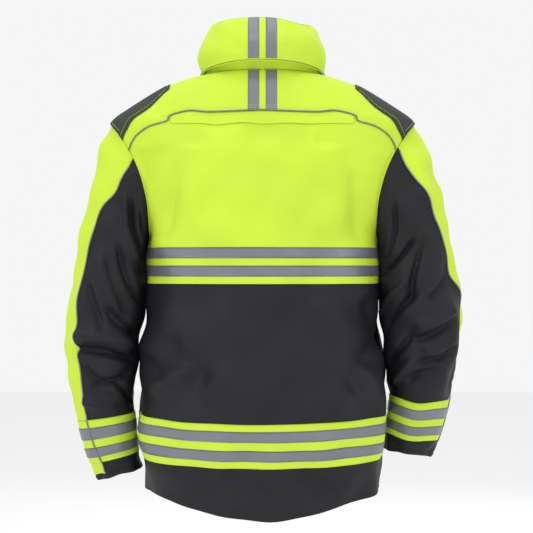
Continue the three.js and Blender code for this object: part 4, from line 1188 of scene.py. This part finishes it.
def make_collar():
    inside = (0, 0, 0.04)
    stand = collar_grid(stand_point, 0.0, 0.9, 8)
    piece = make_sheet("collar_stand", stand, seam_lip(stand, 0.2 * MM, 2 * MM), -SHELL, finish_of("bright_shell"), outward=inside)
    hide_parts("collar_stand")
    roll = collar_grid(roll_point, -0.055, 1.0, 28, 260)
    rise = np.linspace(-1, 1, 28)[:, None]
    rounded = -5.5 * MM * np.abs(rise) ** 7 * (rise > 0)
    filling = 10 * MM * smooth((np.linspace(-0.055, 1, 28)[:, None] - 0.03) / 0.12)
    ends = -4 * MM * np.abs(np.linspace(-1, 1, 260)[None]) ** 120
    piece = make_sheet("hood_collar", roll, rounded + ends, -2 * MM - filling - rounded * 0.6, finish_of("bright_shell"), outward=inside)
    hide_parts("hood_collar", "stowed_hood")
    lining = collar_grid(roll_point, 0.02, 0.97, 22, 170)
    quilt = 0.9 * MM * np.abs(np.sin(np.linspace(0, 22 * math.pi, 170)))[None] ** 0.5
    piece = make_sheet("collar_lining", lining, -12.6 * MM, -13.2 * MM - quilt, finish_of("quilted_lining"), outward=inside)
    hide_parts("collar_lining")
    paths = []
    for v in (0.045, 0.95):
        angle = np.linspace(-1.35, math.pi + 1.35, 220)
        line = roll_point(angle, v + 0 * angle)
        up = unit(line * [1, 1, 0])
        paths.append((line + up * (-3.2 * MM if v > 0.5 else -2.6 * MM), up))
    for side, sign in SIGN.items():
        v = np.linspace(-0.05, 0.992, 27)[:, None]
        x = np.linspace(6, 25, 7)[None] * MM * sign
        wide = COLLAR_RADIUS + ROLL_SWELL(v)
        grid = roll_point(np.arccos(x / wide), v + 0 * x)
        rise = np.linspace(-1, 1, 27)[:, None]
        bulge = -5.5 * MM * np.abs(rise) ** 7 * (rise > 0)
        piece = make_sheet(f"collar_tape_{side}", grid, 1.2 * MM + bulge, 0.3 * MM + bulge, finish_of("reflective_tape"), outward=inside)
        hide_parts(f"collar_tape_{side}")
    thread = stitch_rows("collar_stitches", paths, finish_of("bright_thread"))
    make_hood_zip()
    loop = [(-27, 2), (-27, 7), (-25.5, 9.4), (-22, 10), (0, 10), (22, 10), (25.5, 9.4), (27, 7), (27, 2)]
    x, z = np.array(loop).T * MM
    path = np.stack([x, 0 * x + 71 * MM, z - 1 * MM], -1)
    path = np.concatenate([path[:1], (path[:-1] + path[1:]) / 2, path[-1:]])
    across = np.linspace(-4, 4, 5) * MM
    grid = path[:, None] + np.stack([0 * across, across, 0 * across], -1)[None]
    piece = make_sheet("hanger_loop", grid, 0.5 * MM, -0.5 * MM, finish_of("dark_shell"), outward=(0, 0.071, 0))
    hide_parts("hanger_loop")


def hood_turned(points):
    """From the hood zip's own level ring to its place: tipped back by the collar's lean about X, then moved."""
    tilt = math.atan(COLLAR_LEAN)
    y, z = points[..., 1], points[..., 2]
    return np.stack([points[..., 0], y * math.cos(tilt) - z * math.sin(tilt) - 4 * MM,
                     y * math.sin(tilt) + z * math.cos(tilt) - 4.5 * MM], -1)


def make_hood_zip():
    """The zip round the foot of the roll: a woven tape under a row of moulded teeth."""
    angle, z = np.meshgrid(np.linspace(-0.1, math.pi + 0.1, 150), np.array([-5.0, -4.2, -1.4, -0.6]) * MM)
    r = COLLAR_RADIUS + 2.6 * MM
    grid = hood_turned(np.stack([r * np.cos(angle), r * np.sin(angle), z], -1))
    piece = make_sheet("hood_zip", grid, 0.5 * MM, 0.0, finish_of("bright_shell"), outward=(0, 0, 0))
    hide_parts("hood_zip")
    at = np.arange(-0.08, math.pi + 0.08, 1.9 * MM / r)
    place = hood_turned(np.stack([(r + 0.5 * MM) * np.cos(at), (r + 0.5 * MM) * np.sin(at), -2.8 * MM + 0 * at], -1))
    out = unit(hood_turned(np.stack([(r + 9 * MM) * np.cos(at), (r + 9 * MM) * np.sin(at), -2.8 * MM + 0 * at], -1)) - place)
    run = unit(np.gradient(place, axis=0))
    up = np.cross(out, run)
    piece = blocks("hood_zip_teeth", place, run * 0.6 * MM, up * 0.9 * MM, out * 0.5 * MM, finish_of("zip_coil"))


def blocks(name, centres, a, b, c, material, body="coat"):
    """Small blocks with bevelled outer faces: one at each centre, with half sides a, b and c."""
    corners = np.array([(x, y, z) for z in (-1, 1) for y, x in ((-1, -1), (-1, 1), (1, 1), (1, -1))], float)
    taper = np.where(corners[:, 2:] > 0, 0.78, 1.0)
    shape = corners * np.concatenate([taper, taper, np.ones_like(taper)], axis=1)
    vertices = centres[:, None] + shape[None, :, :1] * a[:, None] + shape[None, :, 1:2] * b[:, None] + shape[None, :, 2:] * c[:, None]
    sign = np.sign(np.sum(np.cross(a, b) * c, axis=-1).mean())
    faces = np.array([(0, 3, 2, 1), (4, 5, 6, 7), (0, 1, 5, 4), (1, 2, 6, 5), (2, 3, 7, 6), (3, 0, 4, 7)])
    if sign < 0:
        faces = faces[:, ::-1]
    index = faces[None] + (np.arange(len(centres)) * 8)[:, None, None]
    return make_piece(name, vertices.reshape(-1, 3), index.reshape(-1, 4), material, body=body, flat=True)


# ---- Front closure -----------------------------------------------------------------------------------


def closed_place(points):
    """From the closure's own frame, with y outward negative, to the coat's: tipped by the front's lean."""
    tilt = -math.atan(FRONT_LEAN)
    y, z = points[..., 1], points[..., 2]
    return np.stack([points[..., 0], y * math.cos(tilt) - z * math.sin(tilt) - NECK_FRONT, y * math.sin(tilt) + z * math.cos(tilt)], -1)


def closure_patch(outline, foot, head, pitch=7 * MM, wave=None):
    """A grid of a strip that keeps one outline all the way up the closure line."""
    outline = np.array(outline, float) * MM
    run = np.concatenate([[0], np.cumsum(np.linalg.norm(np.diff(outline, axis=0), axis=1))])
    at = np.linspace(0, run[-1], steps(run[-1], 3.2 * MM))
    x, y = (np.interp(at, run, outline[:, k]) for k in (0, 1))
    for _ in range(2):
        y[1:-1] = (y[:-2] + 2 * y[1:-1] + y[2:]) / 4
    z = np.linspace(foot, head, steps(head - foot, pitch))
    grid = np.stack(np.broadcast_arrays(x[None], y[None], z[:, None]), -1)
    if wave is not None:
        grid[..., 1] += wave(x[None], z[:, None])
    return closed_place(grid)


FLAP_LINE = [(39, -2.2), (30, -5), (22, -9.8), (14, -13.4), (0, -14.5), (-12, -13.2), (-19, -9.6), (-25, -6.0), (-28, -5.2), (-45, -5.2)]
FLAP_ENDS = (-735 * MM, -56 * MM)


def make_front():
    foot, head = HEM_SIDE + 6 * MM, 74 * MM
    for side, sign in SIGN.items():
        grid = closure_patch([(0.6 * sign, 1.8), (2.8 * sign, 1.8), (11 * sign, 1.8)], foot, head)
        piece = make_sheet(f"zip_tape_{side}", grid, 0.4 * MM, -0.4 * MM, finish_of("zip_tape"), outward=(0, 0, -0.35))
        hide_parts(f"zip_tape_{side}")
        z = np.arange(foot + 2 * MM, head - 1 * MM, 2.6 * MM) + (1.3 * MM if sign > 0 else 0)
        place = closed_place(np.stack([0 * z + 1.5 * MM * sign, 0 * z, z], -1))
        a, b, c = (np.tile(closed_place(np.array(v) * MM) - closed_place(np.zeros(3)), (len(z), 1))
                   for v in ((1.25, 0, 0), (0, 0, 1.05), (0, -1.5, 0)))
        piece = blocks(f"zip_teeth_{side}", place, a, b, c, finish_of("zip_coil"))
    slack = lambda x, z: (1.1 * MM * np.sin(z / (58 * MM) + 1.3) + 0.6 * MM * np.sin(z / (21 * MM))) * np.exp(-((x / (20 * MM)) ** 2))
    grid = closure_patch(FLAP_LINE, *FLAP_ENDS, wave=slack)
    piece = make_sheet("storm_flap", grid, 1.15 * MM + seam_lip(grid, 0.5 * MM, 2 * MM), -1.15 * MM, finish_of("dark_shell"),
                       body="storm_flap", outward=(0, 0, -0.35))
    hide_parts("storm_flap")
    out = closed_place(np.array([0, -1.0, 0])) - closed_place(np.zeros(3))
    paths = []
    for x, y in ((-43, -6.45), (-24, -7.6), (34.5, -4.9)):
        z = np.linspace(FLAP_ENDS[0] + 4 * MM, FLAP_ENDS[1] - 4 * MM, 60)
        line = closed_place(np.stack([0 * z + x * MM, 0 * z + y * MM, z], -1))
        paths.append((line, np.tile(out, (len(z), 1))))
    thread = stitch_rows("storm_flap_stitches", paths, finish_of("dark_thread"), body="storm_flap")
    # The flap carries its own lengths of the band and tapes, so that they run on across the front.
    for name, low, high, finish, lift in (
        ("flap_band", BAND[0], BAND[1], "bright_shell", 1.3 * MM),
        ("flap_hem_tape_lower", BAND[0] + TAPE_EDGE, BAND[0] + TAPE_EDGE + TAPE, "reflective_tape", 2.0 * MM),
        ("flap_hem_tape_upper", BAND[1] - TAPE_EDGE - TAPE, BAND[1] - TAPE_EDGE, "reflective_tape", 2.0 * MM),
        ("flap_chest_band", CHEST_LINE, CHEST_LINE + 76 * MM, "bright_shell", 1.3 * MM),
        ("flap_chest_tape_lower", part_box("chest_tape_lower")[0].z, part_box("chest_tape_lower")[1].z, "reflective_tape", 2.0 * MM),
        ("flap_chest_tape_upper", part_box("chest_tape_upper")[0].z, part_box("chest_tape_upper")[1].z, "reflective_tape", 2.0 * MM),
    ):
        drop = 8 * MM
        grid = closure_patch(FLAP_LINE, low + drop * 0, high, 4 * MM, slack)[:, 1:-1]
        n = normals(grid)
        n = n * -np.sign(n[..., 1:2])
        piece = make_sheet(name, grid + n * lift, 0.55 * MM, -0.05 * MM, finish_of(finish), body="storm_flap", outward=(0, 0, grid[..., 2].mean()))
    for name, y, body in (("flap_loop_strip", -1.15, "coat"), ("flap_hook_strip", -2.9, "storm_flap")):
        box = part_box(name)
        x = np.linspace(-40, -28, 9)
        grid = closure_patch([(v, y) for v in x], -664 * MM, -124 * MM)
        piece = make_sheet(name, grid, 0.65 * MM, -0.65 * MM, finish_of("hook_and_loop"), body=body, outward=(0, 0, -0.35))
        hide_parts(name)


# ---- Pockets -----------------------------------------------------------------------------------------


def pocket_frame():
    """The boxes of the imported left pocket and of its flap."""
    low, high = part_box("pocket_left")
    flap_low, flap_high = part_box("pocket_flap_left")
    return low, high, flap_low, flap_high


POCKET_SEAT = np.array([132.7456, -126.2120, -520.0]) * MM
POCKET_ACROSS = np.array([0.9403, 0.3403, 0.0])
POCKET_OUT = np.array([0.3403, -0.9403, 0.0])
POCKET_HALF, POCKET_TOP, POCKET_DEPTH = 67 * MM, 84 * MM, 22 * MM
POCKET_FLAP = 58 * MM


def make_pockets():
    for side, sign in SIGN.items():
        mirror = np.array([sign, 1, 1])

        def place(t, z, out):
            t, z, out = np.broadcast_arrays(t, z, out)
            return (POCKET_SEAT + t[..., None] * POCKET_ACROSS + out[..., None] * POCKET_OUT + z[..., None] * np.array([0, 0, 1.0])) * mirror

        # The front is a shallow dish whose sides run back to the coat's own front.
        u = np.linspace(-1, 1, 57)[None]
        w = np.linspace(-1, 1, 49)[:, None]
        t = POCKET_HALF * u * (1 - 0.012 * np.abs(w) ** 4)
        z = POCKET_TOP * w * (1 - 0.012 * np.abs(u) ** 4)
        edge = np.maximum(np.abs(u) ** 9, np.where(w < 0, np.abs(w) ** 11, 0))
        slack = soft_noise(place(t, z, 0.0), 45 * MM, 9) * 1.0 * MM
        seated = 2.4 * MM + (POCKET_DEPTH - 3.6 * MM) * (1 - edge) ** 0.6 + slack * (1 - edge)
        body_back = 11 * MM * np.clip(np.abs(u) - 0.35, 0, 1) ** 1.6
        grid = place(t, z, seated - np.where(u > 0, 1, 0.1) * body_back * (edge > 0.35) * edge)
        piece = make_sheet(f"pocket_{side}", grid, 1.1 * MM, -1.1 * MM, finish_of("dark_shell"), outward=POCKET_SEAT * mirror - POCKET_OUT * mirror)
        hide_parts(f"pocket_{side}")
        # The flap folds forward over the mouth and hangs down the front.
        across = (POCKET_HALF + 2 * MM) * np.linspace(-1, 1, 47)[None]
        run = np.linspace(0, 1, 34)[:, None] * 82 * MM
        out = np.minimum(run, 24.6 * MM) + 0.6 * MM
        bend = 4 * MM
        corner = np.clip((run - 21 * MM) / (2 * bend), 0, 1)
        fall = np.maximum(run - 24.6 * MM, 0)
        height = POCKET_TOP + 2.4 * MM - fall - 1.6 * MM * corner
        away = 1.4 * MM + np.minimum(run, 22.4 * MM) + 1.2 * MM * corner
        curl = 0.8 * MM * np.sin(across / (19 * MM) + 0.7) * smooth(fall / (40 * MM))
        grid = place(across + 0 * run, height + 0 * across, away + curl)
        n = normals(grid)
        piece = make_sheet(f"pocket_flap_{side}", grid, 1.1 * MM + seam_lip(grid, 0.4 * MM, 2 * MM), -1.1 * MM, finish_of("dark_shell"),
                           body=f"pocket_flap_{side}", outward=place(0.0, 0.0, 0.0))
        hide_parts(f"pocket_flap_{side}")
        n = normals(grid)
        n = n * np.sign(np.sum(n * (grid - place(0.0, 0.0, 0.0)), axis=-1, keepdims=True))
        paths = [(grid[-3, 2:-2] + n[-3, 2:-2] * 1.0 * MM, n[-3, 2:-2])]
        for column in (2, -3):
            paths.append((grid[12:-2, column] + n[12:-2, column] * 1.0 * MM, n[12:-2, column]))
        thread = stitch_rows(f"pocket_flap_stitches_{side}", paths, finish_of("dark_thread"), body=f"pocket_flap_{side}")


# ---- Lining ------------------------------------------------------------------------------------------


def make_lining():
    """The quilted lining: pillows between stitched lines that cross on the slant, inside the draped shell."""
    grid = belt(-724 * MM, -304 * MM, 1.0, 5 * MM)
    across = np.linspace(0, 1, grid.shape[1])[None] * 24
    up = np.linspace(0, 1, grid.shape[0])[:, None] * 9
    pillow = (np.abs(np.sin(math.pi * (across + up))) * np.abs(np.sin(math.pi * (across - up)))) ** 0.4
    piece = make_sheet("body_lining", grid, -3.0 * MM, -3.2 * MM - 1.5 * MM * pillow, finish_of("quilted_lining"), outward=(0, 0, -0.5))
    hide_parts("body_lining")


def dress_metal():
    """The slider, its pull, the hood's slider and the snaps keep their frame shapes and take the metal finish."""
    for name in ("zip_slider", "zip_pull", "hood_zip_slider", "snap_cap_1", "snap_cap_2", "snap_stud_1", "snap_stud_2"):
        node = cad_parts[name]
        node.data.materials.clear()
        node.data.materials.append(finish_of("zip_metal"))


# ---- Stage -------------------------------------------------------------------------------------------


def make_stage():
    scene = bpy.context.scene
    scene.view_settings.view_transform = "Standard"
    mesh = bpy.data.meshes.new("floor")
    mesh.from_pydata([(-9, -9, -1.25), (9, -9, -1.25), (9, 9, -1.25), (-9, 9, -1.25)], [], [(0, 1, 2, 3)])
    mesh.materials.append(Finish("floor", (0.93, 0.93, 0.93), 0.9).material)
    floor = bpy.data.objects.new("floor", mesh)
    scene.collection.objects.link(floor)
    world = bpy.data.worlds.new("studio")
    world.use_nodes = True
    world.node_tree.nodes["Background"].inputs["Color"].default_value = (1, 1, 1, 1)
    world.node_tree.nodes["Background"].inputs["Strength"].default_value = 0.92
    scene.world = world
    for name, place, size, power in (
        ("key", (1.7, 2.6, 1.7), 1.6, 26),
        ("fill", (-2.4, 2.2, 0.6), 1.8, 9),
        ("top", (0, 0.2, 2.4), 2.0, 16),
        ("front", (-0.8, -3.0, 1.0), 2.2, 14),
    ):
        light = bpy.data.lights.new(name, "AREA")
        light.size = size
        light.energy = power
        lamp = bpy.data.objects.new(name, light)
        lamp.location = place
        aim = np.array([0, 0, -0.35]) - np.array(place)
        lamp.rotation_euler = (math.atan2(math.hypot(aim[0], aim[1]), -aim[2]), 0, math.atan2(-aim[0], aim[1]))
        scene.collection.objects.link(lamp)
    camera = bpy.data.cameras.new("camera")
    camera.lens = 112.6
    camera.sensor_width = 36
    view = bpy.data.objects.new("camera", camera)
    view.location = (-0.007, 3.0, -0.346)
    view.rotation_euler = (math.pi / 2, 0, math.pi)
    scene.collection.objects.link(view)
    scene.camera = view


# ---- Settings, operators and panel ---------------------------------------------------------------------


def color_setting(name, description, value):
    return FloatVectorProperty(name=name, description=description, default=value, subtype="COLOR", size=3, min=0, max=1)


class CoatLook(bpy.types.PropertyGroup):
    bright: color_setting("Bright shell", "Fluorescent colour of the upper body, trims and outer sleeves", (0.57, 0.765, 0.045))
    dark: color_setting("Dark shell", "Colour of the lower body and the sleeves' undersides", (0.0105, 0.0098, 0.0138))
    silver: color_setting("Reflective tape", "Colour of the glass-bead tapes", (0.2, 0.2, 0.235))
    patch: color_setting("Shoulder cloth", "Colour of the shoulder patches", (0.045, 0.048, 0.045))
    piping: color_setting("Piping", "Colour of the reflective piping", (0.2, 0.21, 0.23))
    bright_thread: color_setting("Bright thread", "Colour of the stitching on bright cloth", (0.6, 0.85, 0.05))
    dark_thread: color_setting("Dark thread", "Colour of the stitching on dark cloth", (0.03, 0.028, 0.036))


class CoatStep:
    """What every step shares: it runs a builder and lets a failure through."""

    bl_options = {"REGISTER", "UNDO"}

    def execute(self, context):
        self.build(context.scene.coat_look)
        return {"FINISHED"}


class COAT_OT_cloth(CoatStep, bpy.types.Operator):
    """Hang the shell cloth and make the finishes"""

    bl_idname, bl_label = "coat.cloth", "Hang cloth"

    def build(self, look):
        drape()
        make_finishes(look)


class COAT_OT_body(CoatStep, bpy.types.Operator):
    """Body panels, and the stitching of the hem"""

    bl_idname, bl_label = "coat.body", "Body panels"

    def build(self, look):
        make_body_panels()
        make_hem_channel()


class COAT_OT_trims(CoatStep, bpy.types.Operator):
    """Hem band, reflective tapes, yoke piping, vent flap and shoulder patches"""

    bl_idname, bl_label = "coat.trims", "Trims"

    def build(self, look):
        make_belt_trims()
        make_yoke_trims()
        make_shoulder_patches()


class COAT_OT_sleeves(CoatStep, bpy.types.Operator):
    """Sleeves with their cuffs, bands, tapes, piping and lining"""

    bl_idname, bl_label = "coat.sleeves", "Sleeves"

    def build(self, look):
        make_sleeves()


class COAT_OT_collar(CoatStep, bpy.types.Operator):
    """Collar stand, hood roll, its zip and tapes, and the hanger loop"""

    bl_idname, bl_label = "coat.collar", "Collar"

    def build(self, look):
        make_collar()


class COAT_OT_front(CoatStep, bpy.types.Operator):
    """Zip, storm flap and its fasteners"""

    bl_idname, bl_label = "coat.front", "Front closure"

    def build(self, look):
        make_front()
        dress_metal()


class COAT_OT_pockets(CoatStep, bpy.types.Operator):
    """Lower pockets and their flaps"""

    bl_idname, bl_label = "coat.pockets", "Pockets"

    def build(self, look):
        make_pockets()


class COAT_OT_lining(CoatStep, bpy.types.Operator):
    """Quilted body lining"""

    bl_idname, bl_label = "coat.lining", "Lining"

    def build(self, look):
        make_lining()


class COAT_OT_stage(CoatStep, bpy.types.Operator):
    """Floor, lights and camera"""

    bl_idname, bl_label = "coat.stage", "Stage"

    def build(self, look):
        make_stage()


STEPS = (
    COAT_OT_cloth, COAT_OT_body, COAT_OT_trims, COAT_OT_sleeves, COAT_OT_collar,
    COAT_OT_front, COAT_OT_pockets, COAT_OT_lining, COAT_OT_stage,
)


class COAT_PT_panel(bpy.types.Panel):
    bl_idname, bl_label = "COAT_PT_panel", "Turnout coat"
    bl_space_type, bl_region_type, bl_category = "VIEW_3D", "UI", "Coat"

    def draw(self, context):
        look = context.scene.coat_look
        for name in CoatLook.__annotations__:
            self.layout.prop(look, name)
        for step in STEPS:
            self.layout.operator(step.bl_idname)


def register():
    for made in (CoatLook, *STEPS, COAT_PT_panel):
        bpy.utils.register_class(made)
    bpy.types.Scene.coat_look = bpy.props.PointerProperty(type=CoatLook)


def unregister():
    del bpy.types.Scene.coat_look
    for made in reversed((CoatLook, *STEPS, COAT_PT_panel)):
        bpy.utils.unregister_class(made)


def main():
    register()
    for step in STEPS:
        getattr(bpy.ops.coat, step.bl_idname.split(".")[1])()


if __name__ == "__main__":
    main()
